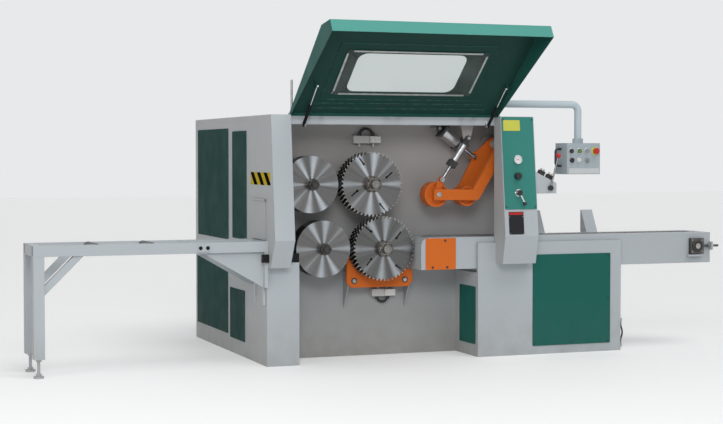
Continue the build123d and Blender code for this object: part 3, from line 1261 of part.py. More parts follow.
# Pendant: a swivelling arm from the roof, with the push-button box hung at its end
ARM_Z = CABINET_H + 93
ARM_BEND = 50
PENDANT_X = RIGHT + 430
PENDANT_TOP = CABINET_H - 183
PENDANT_W = 266
PENDANT_D = 190
PENDANT_H = 222
PENDANT_CORNER = 10
COLLAR_R = 38
COLLAR_H = 33
BUTTON_X = (PENDANT_X - 103, PENDANT_X - 39, PENDANT_X + 21)
BUTTON_Z = PENDANT_TOP - 57
BUTTON_R = 16
BUTTON_OUT = 12
BUTTON_IN = 8
POCKET = 18
STOP_X = PENDANT_X + 88
STOP_HEAD_R = 22
STOP_HEAD_T = 16
STOP_STEM_R = 11
STOP_STEM_L = 14
HANDLE_REACH = 45
HANDLE_Z = (PENDANT_TOP - 162, PENDANT_TOP - 42)
HANDLE_R = 8
HANDLE_BEND = 20
PENDANT_FRONT = ARM_POST[1] - PENDANT_D / 2
PENDANT_LEFT = PENDANT_X - PENDANT_W / 2

with BuildPart() as pendant_arm:
    with BuildLine() as arm_line:
        FilletPolyline((*ARM_POST, CABINET_H + GAP), (*ARM_POST, ARM_Z), (PENDANT_X, ARM_POST[1], ARM_Z),
                       (PENDANT_X, ARM_POST[1], PENDANT_TOP + GAP), radius=ARM_BEND)
    with BuildSketch(Plane(origin=arm_line.line @ 0, z_dir=arm_line.line % 0)):
        Circle(ARM_TUBE_R)
    sweep()
keep(pendant_arm, "pendant_arm")

with BuildPart() as pendant_box:
    with BuildSketch(Plane.XY.offset(PENDANT_TOP - PENDANT_H)):
        with Locations((PENDANT_X, ARM_POST[1])):
            RectangleRounded(PENDANT_W, PENDANT_D, PENDANT_CORNER)
    extrude(amount=PENDANT_H)
    with BuildSketch(Plane.XY.offset(PENDANT_TOP)):
        with Locations((PENDANT_X, ARM_POST[1])):
            Circle(COLLAR_R)
            Circle(ARM_TUBE_R + FIT, mode=Mode.SUBTRACT)
    extrude(amount=COLLAR_H)
    for x in BUTTON_X:
        shaft_y((x, BUTTON_Z), (PENDANT_FRONT, PENDANT_FRONT + POCKET), BUTTON_R + GAP, Mode.SUBTRACT)
    shaft_y((STOP_X, BUTTON_Z), (PENDANT_FRONT, PENDANT_FRONT + POCKET), STOP_STEM_R + GAP, Mode.SUBTRACT)
keep(pendant_box, "pendant_box")

with BuildPart() as pendant_handle:
    with BuildLine() as handle_line:
        grip_x = PENDANT_LEFT - HANDLE_REACH
        FilletPolyline((PENDANT_LEFT, ARM_POST[1], HANDLE_Z[0]), (grip_x, ARM_POST[1], HANDLE_Z[0]),
                       (grip_x, ARM_POST[1], HANDLE_Z[1]), (PENDANT_LEFT, ARM_POST[1], HANDLE_Z[1]),
                       radius=HANDLE_BEND)
    with BuildSketch(Plane(origin=handle_line.line @ 0, z_dir=handle_line.line % 0)):
        Circle(HANDLE_R)
    sweep()
keep(pendant_handle, "pendant_handle")

for name, x in zip(("forward_button", "start_button", "reverse_button"), BUTTON_X):
    with BuildPart() as button:
        shaft_y((x, BUTTON_Z), (PENDANT_FRONT - BUTTON_OUT, PENDANT_FRONT + BUTTON_IN), BUTTON_R)
    keep(button, name)

with BuildPart() as emergency_stop:
    head_back = PENDANT_FRONT - STOP_STEM_L
    shaft_y((STOP_X, BUTTON_Z), (head_back - STOP_HEAD_T, head_back), STOP_HEAD_R)
    shaft_y((STOP_X, BUTTON_Z), (head_back, PENDANT_FRONT + BUTTON_IN), STOP_STEM_R)
keep(emergency_stop, "emergency_stop")
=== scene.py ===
from contextlib import contextmanager
from itertools import product
from math import asin, cos, hypot, pi, radians, sin

import bmesh
import bpy
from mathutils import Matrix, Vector


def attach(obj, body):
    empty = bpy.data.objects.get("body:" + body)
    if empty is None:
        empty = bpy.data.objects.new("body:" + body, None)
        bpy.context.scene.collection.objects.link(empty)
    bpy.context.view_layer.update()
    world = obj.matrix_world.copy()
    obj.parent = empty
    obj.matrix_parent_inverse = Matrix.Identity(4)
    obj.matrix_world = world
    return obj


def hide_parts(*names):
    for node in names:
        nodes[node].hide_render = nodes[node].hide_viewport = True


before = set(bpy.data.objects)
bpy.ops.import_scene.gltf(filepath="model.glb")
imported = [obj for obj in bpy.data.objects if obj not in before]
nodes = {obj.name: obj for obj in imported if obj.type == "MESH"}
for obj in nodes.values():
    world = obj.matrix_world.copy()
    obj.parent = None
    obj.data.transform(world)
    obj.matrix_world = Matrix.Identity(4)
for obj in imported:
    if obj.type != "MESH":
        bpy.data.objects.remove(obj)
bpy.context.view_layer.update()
scene = bpy.context.scene
scene.view_settings.view_transform = "Standard"

X, Y, Z = Vector((1, 0, 0)), Vector((0, 1, 0)), Vector((0, 0, 1))

# Faces and axes shared with the solids, in metres
LEFT, RIGHT, ROOF_TOP, PLATE_FRONT = -0.960, 0.960, 1.680, -0.576
WING_FRONT, WING_LEFT, LOG_Y = -0.960, 0.570, -0.760
COVER_T = 0.004
ARBORS = {"upper_saw": (-0.172, 1.212), "lower_saw": (-0.084, 0.766),
          "upper_disc": (-0.612, 1.212), "lower_disc": (-0.526, 0.772)}
TAIL = (2.345, 0.742)
SLOPE_Y, SLOPE_Z, SLOPE_RUN, SLOPE_RISE = -1.116, 0.850, 0.090, 0.830
SLOPE_NORMAL = Vector((0, -SLOPE_RISE, SLOPE_RUN)).normalized()
SLOPE_UP = X.cross(SLOPE_NORMAL) * -1
PENDANT_FRONT = -0.976
HOOD_HINGE = Vector((0, -0.965, 1.684))
HOOD_TILT = radians(39.3)
HOOD_DOWN = Vector((0, -cos(HOOD_TILT), sin(HOOD_TILT)))
HOOD_OUT = Vector((0, sin(HOOD_TILT), cos(HOOD_TILT)))


def add_object(name, data):
    made = bpy.data.objects.new(name, data)
    scene.collection.objects.link(made)
    return made


def aimed(direction):
    """The turn that points a camera or a lamp along a direction."""
    return direction.to_track_quat("-Z", "Y").to_euler()


# Camera

YAW, PITCH = radians(20.6), radians(2.12)
camera_data = bpy.data.cameras.new("camera")
camera_data.lens = 78.17
camera_data.sensor_width = 36
camera = add_object("camera", camera_data)
camera.location = (-4.038, -10.906, 1.42)
camera.rotation_euler = aimed(Vector((sin(YAW) * cos(PITCH), cos(YAW) * cos(PITCH), -sin(PITCH))))
scene.camera = camera

# Cable between the glands on the wing's end

CABLE_X, CABLE_Y, CABLE_BOW, CABLE_R = 1.724, -0.925, 0.014, 0.006
CABLE_ROUTE = [(CABLE_X, CABLE_Y, 0.205), (CABLE_X, CABLE_Y, 0.175), (CABLE_X + CABLE_BOW, CABLE_Y, 0.140),
               (CABLE_X + CABLE_BOW, CABLE_Y, 0.110), (CABLE_X, CABLE_Y, 0.075), (CABLE_X, CABLE_Y, 0.045)]
cable_curve = bpy.data.curves.new("cable", "CURVE")
cable_curve.dimensions = "3D"
cable_curve.bevel_depth = 1.0
cable_curve.bevel_resolution = 4
cable_spline = cable_curve.splines.new("NURBS")
cable_spline.points.add(len(CABLE_ROUTE) - 1)
for point, place in zip(cable_spline.points, CABLE_ROUTE):
    point.co = (*place, 1)
    point.radius = CABLE_R
cable_spline.order_u = 3
cable_spline.use_endpoint_u = True
cable = add_object("cable", cable_curve)
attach(cable, "frame")
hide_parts("cable_loop")


# Materials

class Shader:
    """A principled material whose inputs are fed from the surface's own coordinates."""

    def __init__(self, name, color, roughness, metallic=0.0):
        self.material = bpy.data.materials.new(name)
        self.material.use_nodes = True
        self.tree = self.material.node_tree
        self.bsdf = self.tree.nodes["Principled BSDF"]
        self.set("Base Color", (*color, 1))
        self.set("Roughness", roughness)
        self.set("Metallic", metallic)
        self.place = self.node("ShaderNodeTexCoord").outputs["Object"]

    def node(self, kind, **settings):
        made = self.tree.nodes.new(kind)
        for key, value in settings.items():
            setattr(made, key, value)
        return made

    def set(self, socket, value):
        self.bsdf.inputs[socket].default_value = value

    def feed(self, socket, source):
        self.link(source, self.bsdf.inputs[socket])

    def link(self, source, target):
        self.tree.links.new(source, target)

    def math(self, operation, first, second=None):
        made = self.node("ShaderNodeMath", operation=operation)
        for socket, value in zip(made.inputs, (first, second)):
            if isinstance(value, (int, float)):
                socket.default_value = value
            elif value is not None:
                self.link(value, socket)
        return made.outputs[0]

    def texture(self, socket, source, scale, detail, dimensions):
        made = self.node("ShaderNodeTexNoise", noise_dimensions=dimensions)
        made.inputs["Scale"].default_value = scale
        made.inputs["Detail"].default_value = detail
        self.link(source, made.inputs[socket])
        return made.outputs["Fac"]

    def noise(self, scale, detail=4.0, stretch=None):
        place = self.place
        if stretch:
            mapping = self.node("ShaderNodeMapping")
            mapping.inputs["Scale"].default_value = stretch
            self.link(place, mapping.inputs["Vector"])
            place = mapping.outputs["Vector"]
        return self.texture("Vector", place, scale, detail, "3D")

    def noise_along(self, source, scale, detail):
        """Noise of one value, such as a radius or an angle."""
        return self.texture("W", source, scale, detail, "1D")

    def spread(self, source, low, high, start=0.3, end=0.7):
        ranged = self.node("ShaderNodeMapRange")
        for socket, value in zip(("From Min", "From Max", "To Min", "To Max"), (start, end, low, high)):
            ranged.inputs[socket].default_value = value
        self.link(source, ranged.inputs["Value"])
        return ranged.outputs["Result"]

    def mix(self, factor, first, second):
        mixed = self.node("ShaderNodeMix", data_type="RGBA")
        self.link(factor, mixed.inputs["Factor"])
        for socket, value in ((mixed.inputs["A"], first), (mixed.inputs["B"], second)):
            if isinstance(value, tuple):
                socket.default_value = (*value, 1)
            else:
                self.link(value, socket)
        return mixed.outputs["Result"]

    def rounded(self, radius):
        made = self.node("ShaderNodeBevel", samples=4)
        made.inputs["Radius"].default_value = radius
        return made.outputs["Normal"]

    def bump(self, height, strength, depth, bevel=0.0):
        bumped = self.node("ShaderNodeBump")
        bumped.inputs["Strength"].default_value = strength
        bumped.inputs["Distance"].default_value = depth
        self.link(height, bumped.inputs["Height"])
        if bevel:
            self.link(self.rounded(bevel), bumped.inputs["Normal"])
        self.feed("Normal", bumped.outputs["Normal"])

    def edge(self, radius):
        """One along the edges of the form, nought on its flats."""
        cosine = self.node("ShaderNodeVectorMath", operation="DOT_PRODUCT")
        self.link(self.rounded(radius), cosine.inputs[0])
        self.link(self.node("ShaderNodeNewGeometry").outputs["True Normal"], cosine.inputs[1])
        return self.spread(cosine.outputs["Value"], 1.0, 0.0, 0.80, 0.99)

    def facing(self, direction):
        """The cosine between the form's own normal and a direction of the form."""
        cosine = self.node("ShaderNodeVectorMath", operation="DOT_PRODUCT")
        self.link(self.node("ShaderNodeTexCoord").outputs["Normal"], cosine.inputs[0])
        cosine.inputs[1].default_value = direction
        return cosine.outputs["Value"]

    def axes(self):
        """The form's own X, Y and Z."""
        split = self.node("ShaderNodeSeparateXYZ")
        self.link(self.place, split.inputs["Vector"])
        return split.outputs


def tone(color, factor):
    return tuple(min(1.0, channel * factor) for channel in color)


# Powder coat: scales of its noises, and the dust on it up to a height
DRIFT_SCALE, RUB_AND_HIGHLIGHT_SCALE, GLOSS_SCALE, PEEL_SCALE = 1.6, 38.0, 7.0, 520.0
DUST_COLOR, DUST_SCALE, DUST_Z = (0.30, 0.27, 0.22), 11.0, 0.42


def paint(name, color, roughness=0.45, bevel=0.004, dust=0.0, painted_sides=(), grade=None, shine=0.18):
    """Powder coat: fine orange peel, slow drifts of tone, lighter edges that are rubbed wear and partly a
    painted highlight, dust towards the floor.

    A painted side, painted light or shade on the faces turned one way, has a direction, the cosines where its
    colour starts and is full, the colour, and limits on axes.
    A grade has two heights and the colour that is full at the second.
    """
    shader = Shader(name, color, roughness)
    shader.set("Specular IOR Level", shine)
    drift = shader.spread(shader.noise(DRIFT_SCALE), 0.0, 1.0)
    coat = shader.mix(drift, tone(color, 0.97), tone(color, 1.03))
    # Painted light or shade: a colour laid on the faces turned one way
    for direction, start, full, painted_side_color, *limits in painted_sides:
        painted_side_mask = shader.spread(shader.facing(direction), 0.0, 1.0, start, full)
        for axis, operation, value in limits:
            within = shader.math(operation, shader.axes()[axis], value)
            painted_side_mask = shader.math("MULTIPLY", painted_side_mask, within)
        coat = shader.mix(painted_side_mask, coat, painted_side_color)
    if grade:
        low, high, high_color = grade
        coat = shader.mix(shader.spread(shader.axes()["Z"], 0.0, 1.0, low, high), coat, high_color)
    # Lighter edges in patches: rubbed wear, and partly a painted highlight along the edges
    patches = shader.spread(shader.noise(RUB_AND_HIGHLIGHT_SCALE), 0.0, 0.55, 0.42, 0.68)
    rubbed_and_highlit = shader.math("MULTIPLY", shader.edge(bevel), patches)
    coat = shader.mix(rubbed_and_highlit, coat, tuple(0.6 * channel + 0.3 for channel in color))
    if dust:
        low = shader.spread(shader.axes()["Z"], dust, 0.0, 0.0, DUST_Z)
        speck = shader.math("MULTIPLY", low, shader.spread(shader.noise(DUST_SCALE, 6.0), 0.2, 1.0))
        coat = shader.mix(speck, coat, DUST_COLOR)
    shader.feed("Base Color", coat)
    shader.feed("Roughness", shader.spread(shader.noise(GLOSS_SCALE), roughness - 0.05, roughness + 0.07))
    shader.bump(shader.noise(PEEL_SCALE, 2.0), 0.10, 0.0006, bevel)
    return shader.material


def turned(name, color, roughness=0.32):
    """Machined metal: fine tool lines and a little stain."""
    shader = Shader(name, color, roughness, 1.0)
    stain = shader.spread(shader.noise(22.0, 6.0), 0.0, 1.0)
    shader.feed("Base Color", shader.mix(stain, tone(color, 0.80), tone(color, 1.08)))
    lines = shader.noise(60.0, 3.0, (1.0, 26.0, 1.0))
    shader.feed("Roughness", shader.spread(lines, roughness - 0.08, roughness + 0.12))
    shader.bump(lines, 0.12, 0.0004, 0.0015)
    return shader.material


# Painted highlights: bright wedges that stand in for reflections on the ground steel, each with angle, half
# width and strength, and their bluish colour
PAINTED_HIGHLIGHT_WEDGES = ((0, 9, 0.6), (46, 7, 0.3), (84, 12, 0.9), (119, 11, 1.0))
PAINTED_HIGHLIGHT_COLOR = (0.58, 0.63, 0.68)
# Rims: a lighter, less metallic grey, partly a ground edge and partly painted light on teeth that sit in
# shade
LIT_RIM_COLOR, RIM_METALLIC = (0.40, 0.39, 0.375), 0.25
HUB_COLOR = (0.075, 0.070, 0.066)
SCRATCH_SCALE, SWEEP_SCALE = 900.0, 3.2


def ground_disc(name, color, axis, painted_highlight_strength, hub_r=0.0, lit_rim=False):
    """A ground blade: rings of fine scratches round its axis, stains that run out along the radius, and
    painted highlights in wedges round the axis.
    """
    shader = Shader(name, color, 0.30, 1.0)
    own = shader.axes()
    across = shader.math("SUBTRACT", own["X"], axis[0])
    up = shader.math("SUBTRACT", own["Z"], axis[1])
    radius = shader.math("SQRT", shader.math("ADD", shader.math("MULTIPLY", across, across),
                                             shader.math("MULTIPLY", up, up)))
    angle = shader.math("ARCTAN2", up, across)
    rings = shader.noise_along(radius, SCRATCH_SCALE, 3.0)
    swept = shader.spread(shader.noise_along(angle, SWEEP_SCALE, 2.0), 0.0, 1.0, 0.38, 0.62)
    sweep_and_highlights = shader.mix(swept, tone(color, 0.86), tone(color, 1.16))
    # Painted highlights: lighter, bluish wedges round the axis that stand in for reflections
    painted_highlight_sum = 0.0
    for centre, half_width, strength in PAINTED_HIGHLIGHT_WEDGES:
        away = shader.math("ABSOLUTE", shader.math("SINE", shader.math("SUBTRACT", angle, radians(centre))))
        within = shader.spread(away, 1.0, 0.0, sin(radians(half_width * 0.2)), sin(radians(half_width)))
        painted_highlight_wedge = shader.math("MULTIPLY", within, strength * painted_highlight_strength)
        painted_highlight_sum = shader.math("ADD", painted_highlight_wedge, painted_highlight_sum)
    sweep_and_highlights = shader.mix(painted_highlight_sum, sweep_and_highlights, PAINTED_HIGHLIGHT_COLOR)
    coat = shader.mix(shader.spread(shader.noise(9.0, 6.0), 0.0, 0.35), sweep_and_highlights, color)
    # Rims lighter and less metallic: partly the ground edge, partly painted light that stands in for light on
    # the teeth
    if lit_rim:
        flatness = shader.math("ABSOLUTE", shader.facing(Y))
        coat = shader.mix(shader.spread(flatness, 0.0, 1.0), LIT_RIM_COLOR, coat)
        shader.feed("Metallic", shader.spread(flatness, RIM_METALLIC, 1.0))
    if hub_r:
        coat = shader.mix(shader.math("LESS_THAN", radius, hub_r), coat, HUB_COLOR)
    shader.feed("Base Color", coat)
    shader.feed("Roughness", shader.spread(rings, 0.22, 0.40))
    shader.set("Anisotropic", 0.7)
    tangent = shader.node("ShaderNodeTangent", direction_type="RADIAL", axis="Y")
    shader.feed("Tangent", tangent.outputs["Tangent"])
    shader.bump(rings, 0.05, 0.0002)
    return shader.material


def moulded(name, color, roughness=0.30, grain=260.0, shine=0.5):
    """Moulded plastic or rubber with a fine grain and handled patches."""
    shader = Shader(name, color, roughness)
    shader.set("Specular IOR Level", shine)
    patch = shader.spread(shader.noise(30.0), 0.0, 1.0)
    handled = tuple(channel * 1.1 + 0.004 for channel in color)
    shader.feed("Base Color", shader.mix(patch, tone(color, 0.85), handled))
    shader.feed("Roughness", shader.spread(shader.noise(55.0), roughness - 0.06, roughness + 0.12))
    shader.bump(shader.noise(grain, 2.0), 0.10, 0.0004, 0.0012)
    return shader.material


TUBE_METALLIC = 0.85


def cylinder_metal(name, anchor, lug, tube):
    """Bright tube between black end caps, told apart by the distance along the cylinder's line."""
    shader = Shader(name, (0.55, 0.56, 0.57), 0.30, TUBE_METALLIC)
    length = hypot(lug[0] - anchor[0], lug[1] - anchor[1])
    own = shader.axes()
    steps = [shader.math("MULTIPLY", shader.math("SUBTRACT", own[axis], start), (end - start) / length)
             for axis, start, end in zip("XZ", anchor, lug)]
    along = shader.math("ADD", *steps)
    on_tube = shader.math("MULTIPLY", shader.math("GREATER_THAN", along, tube[0]),
                          shader.math("LESS_THAN", along, tube[1]))
    worn = shader.spread(shader.noise(40.0), 0.0, 1.0)
    caps = shader.mix(worn, (0.015, 0.015, 0.017), (0.035, 0.035, 0.038))
    tubes = shader.mix(worn, (0.46, 0.47, 0.48), (0.60, 0.61, 0.62))
    shader.feed("Base Color", shader.mix(on_tube, caps, tubes))
    shader.feed("Metallic", shader.math("MULTIPLY", on_tube, TUBE_METALLIC))
    shader.bump(shader.noise(200.0, 2.0), 0.08, 0.0004, 0.002)
    return shader.material


def lever_finish(name, rod_z, rod_metal, below, above):
    """A metal rod between two heights, with coloured ends below and above it."""
    shader = Shader(name, rod_metal, 0.26)
    up = shader.axes()["Z"]
    over = shader.math("GREATER_THAN", up, rod_z[1])
    on_rod = shader.math("SUBTRACT", shader.math("GREATER_THAN", up, rod_z[0]), over)
    worn = shader.spread(shader.noise(60.0), 0.0, 1.0)
    foot, rod, knob = [shader.mix(worn, tone(color, 0.85), tone(color, 1.15))
                       for color in (below, rod_metal, above)]
    shader.feed("Base Color", shader.mix(over, shader.mix(on_rod, foot, rod), knob))
    shader.feed("Metallic", on_rod)
    shader.bump(shader.noise(180.0, 2.0), 0.06, 0.0004, 0.001)
    return shader.material


# Stripes to the metre, their slant, where the first starts and the share of a step that is yellow
STRIPES, STRIPE_SLANT, STRIPE_START, STRIPE_SHARE = 6.6, 1.1, 0.40, 0.48


def striped(name):
    """Yellow plate with slanted black stripes and scuffs."""
    shader = Shader(name, (0.80, 0.56, 0.02), 0.5)
    shader.set("Specular IOR Level", 0.0)
    own = shader.axes()
    slant = shader.math("ADD", shader.math("MULTIPLY", own["Y"], -1.0),
                        shader.math("MULTIPLY", own["Z"], STRIPE_SLANT))
    count = shader.math("ADD", shader.math("MULTIPLY", slant, STRIPES), STRIPE_START)
    band = shader.math("GREATER_THAN", shader.math("FRACT", count), STRIPE_SHARE)
    scuff = shader.spread(shader.noise(45.0, 6.0), 0.0, 0.04, 0.5, 0.75)
    plain = shader.mix(band, (0.62, 0.46, 0.04), (0.006, 0.006, 0.006))
    shader.feed("Base Color", shader.mix(scuff, plain, (0.35, 0.30, 0.20)))
    shader.bump(shader.noise(300.0, 2.0), 0.08, 0.0004)
    return shader.material


def clear_sheet(name):
    """Clear polycarbonate with a faint haze of wiping marks."""
    shader = Shader(name, (0.71, 0.76, 0.745), 0.06)
    shader.set("Transmission Weight", 0.95)
    shader.set("IOR", 1.2)
    shader.feed("Roughness", shader.spread(shader.noise(6.0, 6.0, (1.0, 5.0, 1.0)), 0.02, 0.14))
    return shader.material


# Bluish grey, with a neutral grey for the faces turned left: a painted tint of light by side
GREY, LEFT_LIGHT_TINT_GREY = (0.475, 0.513, 0.540), (0.485, 0.500, 0.503)
BLACK, RED = (0.016, 0.016, 0.018), (0.50, 0.018, 0.016)
# Blade steel, and the lower saw's copy of it painted darker as painted shade
BLADE, SHADED_LOWER_BLADE = (0.160, 0.160, 0.158), (0.130, 0.131, 0.130)
# The hood's painted shade on its inside, and a painted highlight on its lip above LIP_Z
HOOD_INSIDE_SHADE, HOOD_LIP_HIGHLIGHT, LIP_Z = (0.015, 0.056, 0.046), (0.095, 0.350, 0.300), 2.12
# Grey paint: faces turned left are painted a neutral grey and the rest bluer, a painted tint of light
grey_paint = paint("grey_paint", GREY, dust=0.35, painted_sides=((-X, 0.4, 0.8, LEFT_LIGHT_TINT_GREY),))
chamber_paint = paint("chamber_paint", (0.40, 0.41, 0.415), 0.5, dust=0.5,
                      grade=(0.75, 1.25, (0.42, 0.405, 0.395)))
# Green paint: faces turned left on the machine's left half are painted a darker green, a painted shade
green_paint = paint("green_paint", (0.020, 0.130, 0.108), 0.55, dust=0.06, shine=0.05,
                    painted_sides=((-X, 0.4, 0.8, (0.004, 0.048, 0.040), ("X", "LESS_THAN", 0.0)),))
# Hood paint: the inside faces are painted dark green as painted shade, and the lip a light teal as a painted
# highlight
hood_paint = paint("hood_paint", (0.022, 0.110, 0.092), shine=0.10,
                   painted_sides=((-HOOD_OUT, 0.30, 0.45, HOOD_INSIDE_SHADE),
                          (HOOD_DOWN, 0.80, 0.90, HOOD_LIP_HIGHLIGHT, ("Z", "GREATER_THAN", LIP_Z))))
screw_green = paint("screw_green", (0.030, 0.095, 0.080), 0.35, 0.001)
console_paint = paint("console_paint", (0.045, 0.235, 0.200))
orange_paint = paint("orange_paint", (0.71, 0.158, 0.022), 0.42, 0.003)
# White paint: faces turned left are painted lighter, painted light on the pendant box's side
white_paint = paint("white_paint", (0.41, 0.475, 0.510), 0.40,
                    painted_sides=((-X, 0.4, 0.8, (0.52, 0.58, 0.61)),))
arm_paint = paint("arm_paint", (0.54, 0.63, 0.675), 0.40)
spray_white = paint("spray_white", (0.60, 0.60, 0.58), 0.40, 0.002)
motor_paint = paint("motor_paint", (0.10, 0.14, 0.16))
pale_plate = paint("pale_plate", (0.60, 0.63, 0.64))
red_strip = paint("red_strip", (0.45, 0.030, 0.028), 0.45, 0.001)
yellow_plate = paint("yellow_plate", (0.62, 0.62, 0.10), 0.38, 0.001)
dark_plate = paint("dark_plate", (0.020, 0.020, 0.024), 0.40, 0.001)
steel = turned("steel", (0.42, 0.42, 0.41))
arbor_steel = turned("arbor_steel", (0.15, 0.14, 0.13), 0.38)
nut_steel = turned("nut_steel", (0.26, 0.25, 0.235), 0.36)
bright_steel = turned("bright_steel", (0.62, 0.62, 0.62), 0.22)
chain_steel = turned("chain_steel", (0.27, 0.265, 0.26), 0.40)
oiled_steel = turned("oiled_steel", (0.075, 0.072, 0.068), 0.42)
block_steel = turned("block_steel", (0.120, 0.120, 0.118), 0.50)
chrome = turned("chrome", (0.78, 0.78, 0.80), 0.12)
rod_steel = turned("rod_steel", (0.36, 0.36, 0.37), 0.24)
anodised = turned("anodised", (0.66, 0.67, 0.67), 0.34)
strip_metal = turned("strip_metal", (0.52, 0.57, 0.55), 0.38)
carbide = turned("carbide", (0.66, 0.63, 0.58), 0.34)
rubber = moulded("rubber", (0.018, 0.018, 0.019), 0.55, 180.0)
black_plastic = moulded("black_plastic", BLACK)
red_plastic = moulded("red_plastic", (0.52, 0.018, 0.016), 0.26)
green_plastic = moulded("green_plastic", (0.11, 0.20, 0.05))
grey_plastic = moulded("grey_plastic", (0.26, 0.27, 0.28), 0.32)
white_plastic = moulded("white_plastic", (0.72, 0.72, 0.70), 0.28)
dial_white = moulded("dial_white", (0.80, 0.80, 0.78), 0.45)
strut_black = moulded("strut_black", (0.010, 0.010, 0.011), 0.26, 120.0, 0.14)

NODE_MATERIALS = {
    grey_paint: ("base_frame", "left_wall", "right_wall", "rear_wall", "roof_panel", "front_pillars",
                 "wing_base", "infeed_bed", "outfeed_bracket", "outfeed_table", "outfeed_flap"),
    chamber_paint: ("chamber_back_plate", "press_mount"),
    green_paint: ("access_covers",),
    hood_paint: ("hood_shell",),
    console_paint: ("console_panel",),
    orange_paint: ("nose_cover", "lower_bracket", "front_press_arm", "rear_press_arm", "front_press_roller",
                   "rear_press_roller"),
    white_paint: ("pendant_box",),
    arm_paint: ("pendant_arm",),
    motor_paint: ("drive_motors",),
    arbor_steel: ("upper_arbor", "lower_arbor"),
    steel: ("arbor_housings", "drive_sprocket", "tail_sprocket", "hinge_set"),
    spray_white: ("spray_bars",),
    chain_steel: ("feed_chain",),
    oiled_steel: ("outfeed_roller_1", "outfeed_roller_2"),
    block_steel: ("take_up_blocks",),
    chrome: ("strut_rods", "pressure_gauge"),
    rod_steel: ("front_cylinder_rod", "rear_cylinder_rod"),
    strip_metal: ("window_frame",),
    strut_black: ("strut_cylinders", "slide_bar"),
    rubber: ("spray_hoses", "cable_loop"),
    black_plastic: ("regulator_knob", "pendant_handle", "forward_button"),
    red_plastic: ("emergency_stop",),
    green_plastic: ("start_button",),
    grey_plastic: ("reverse_button",),
}
# Heights of the levers' rods; anchor, lug and ends of the tube of each cylinder; the discs' dark hubs
HAND_ROD_Z, CONSOLE_ROD_Z = (1.2, 1.388), (1.087, 1.131)
CYLINDERS = {"front_cylinder": ((0.545, 1.530), (0.344, 1.241), (0.060, 0.195)),
             "rear_cylinder": ((0.385, 1.600), (0.655, 1.400), (0.040, 0.166))}
DISC_HUB_R = 0.0405


def dress(name, material):
    mesh = nodes[name].data
    mesh.materials.clear()
    mesh.materials.append(material)


for material, names in NODE_MATERIALS.items():
    for name in names:
        dress(name, material)
dress("hood_window", clear_sheet("clear_sheet"))
dress("hand_lever", lever_finish("hand_lever_finish", HAND_ROD_Z, (0.20, 0.20, 0.20), BLACK, RED))
dress("console_lever", lever_finish("console_lever_finish", CONSOLE_ROD_Z, (0.72, 0.72, 0.73), BLACK, BLACK))
# Each disc with the strength of its painted highlights
for name, painted_highlight_strength in (("upper_disc", 1.0), ("lower_disc", 0.75)):
    dress(name, ground_disc(f"{name}_steel", BLADE, ARBORS[name], painted_highlight_strength, DISC_HUB_R))
for name, line in CYLINDERS.items():
    dress(name, cylinder_metal(f"{name}_metal", *line))
cable_curve.materials.append(rubber)


# Mesh helpers

SHARP = radians(32)


@contextmanager
def piece(name, material, slot, body="frame", node=None):
    """A bmesh to fill, which then becomes a piece that rides on a body and may replace a node."""
    form = bmesh.new()
    yield form
    bmesh.ops.recalc_face_normals(form, faces=form.faces)
    mesh = bpy.data.meshes.new(name)
    form.to_mesh(mesh)
    form.free()
    mesh.shade_smooth()
    mesh.set_sharp_from_angle(angle=SHARP)
    mesh.materials.append(material)
    made = add_object(name, mesh)
    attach(made, body)
    if node:
        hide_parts(node)


def middle(span):
    return (span[0] + span[1]) / 2


def extent(span):
    return span[1] - span[0]


def axes_of(normal):
    side = normal.cross(Z if abs(normal.z) < 0.9 else X).normalized()
    return side, normal.cross(side)


def on_circle(axis, radius, angle, y=0.0):
    return Vector((axis[0] + radius * cos(angle), y, axis[1] + radius * sin(angle)))


def on_slope(x, z, out=0.0):
    """A point of the pillars' sloping face at a height, moved out along its normal."""
    return Vector((x, SLOPE_Y + (z - SLOPE_Z) * SLOPE_RUN / SLOPE_RISE, z)) + SLOPE_NORMAL * out


def wall_between(form, low, high):
    """Faces between two rings of as many points, or between a ring and a tip."""
    count = max(len(low), len(high))
    for step in range(count):
        after = (step + 1) % count
        corners = (low[step % len(low)], low[after % len(low)],
                   high[after % len(high)], high[step % len(high)])
        form.faces.new(list(dict.fromkeys(corners)))


def prism(form, near, far):
    """A solid between two like outlines."""
    form.faces.new(near)
    form.faces.new(far)
    wall_between(form, near, far)


def lathe(form, at, normal, profile, segments=20, hollow=False):
    """Revolve a profile of (radius, height) pairs about a normal; a hollow one closes on itself as a ring."""
    normal = Vector(normal).normalized()
    side, up = axes_of(normal)
    angles = [2 * pi * step / segments for step in range(segments)]
    rings = []
    for radius, height in profile:
        centre = Vector(at) + normal * height
        if radius == 0:
            rings.append([form.verts.new(centre)])
            continue
        rings.append([form.verts.new(centre + (side * cos(angle) + up * sin(angle)) * radius)
                      for angle in angles])
    ends = () if hollow else (rings[0], rings[-1])
    if hollow:
        rings.append(rings[0])
    for low, high in zip(rings, rings[1:]):
        wall_between(form, low, high)
    for ring in ends:
        if len(ring) > 1:
            form.faces.new(ring)


def hex_bolt(form, at, normal, size):
    """A washer under a chamfered hexagon head."""
    normal = Vector(normal).normalized()
    lathe(form, at, normal, [(size * 1.35, 0), (size * 1.35, size * 0.14), (size * 1.28, size * 0.2)])
    head = Vector(at) + normal * size * 0.2
    lathe(form, head, normal, [(size, 0), (size, size * 0.52), (size * 0.84, size * 0.64)], 6)


def dome_screw(form, at, normal, size):
    """A button-head screw with a sunk socket."""
    lathe(form, at, normal,
          [(size, 0), (size, size * 0.18), (size * 0.86, size * 0.42), (size * 0.52, size * 0.58),
           (size * 0.44, size * 0.56), (size * 0.40, size * 0.22), (0, size * 0.20)], 16)


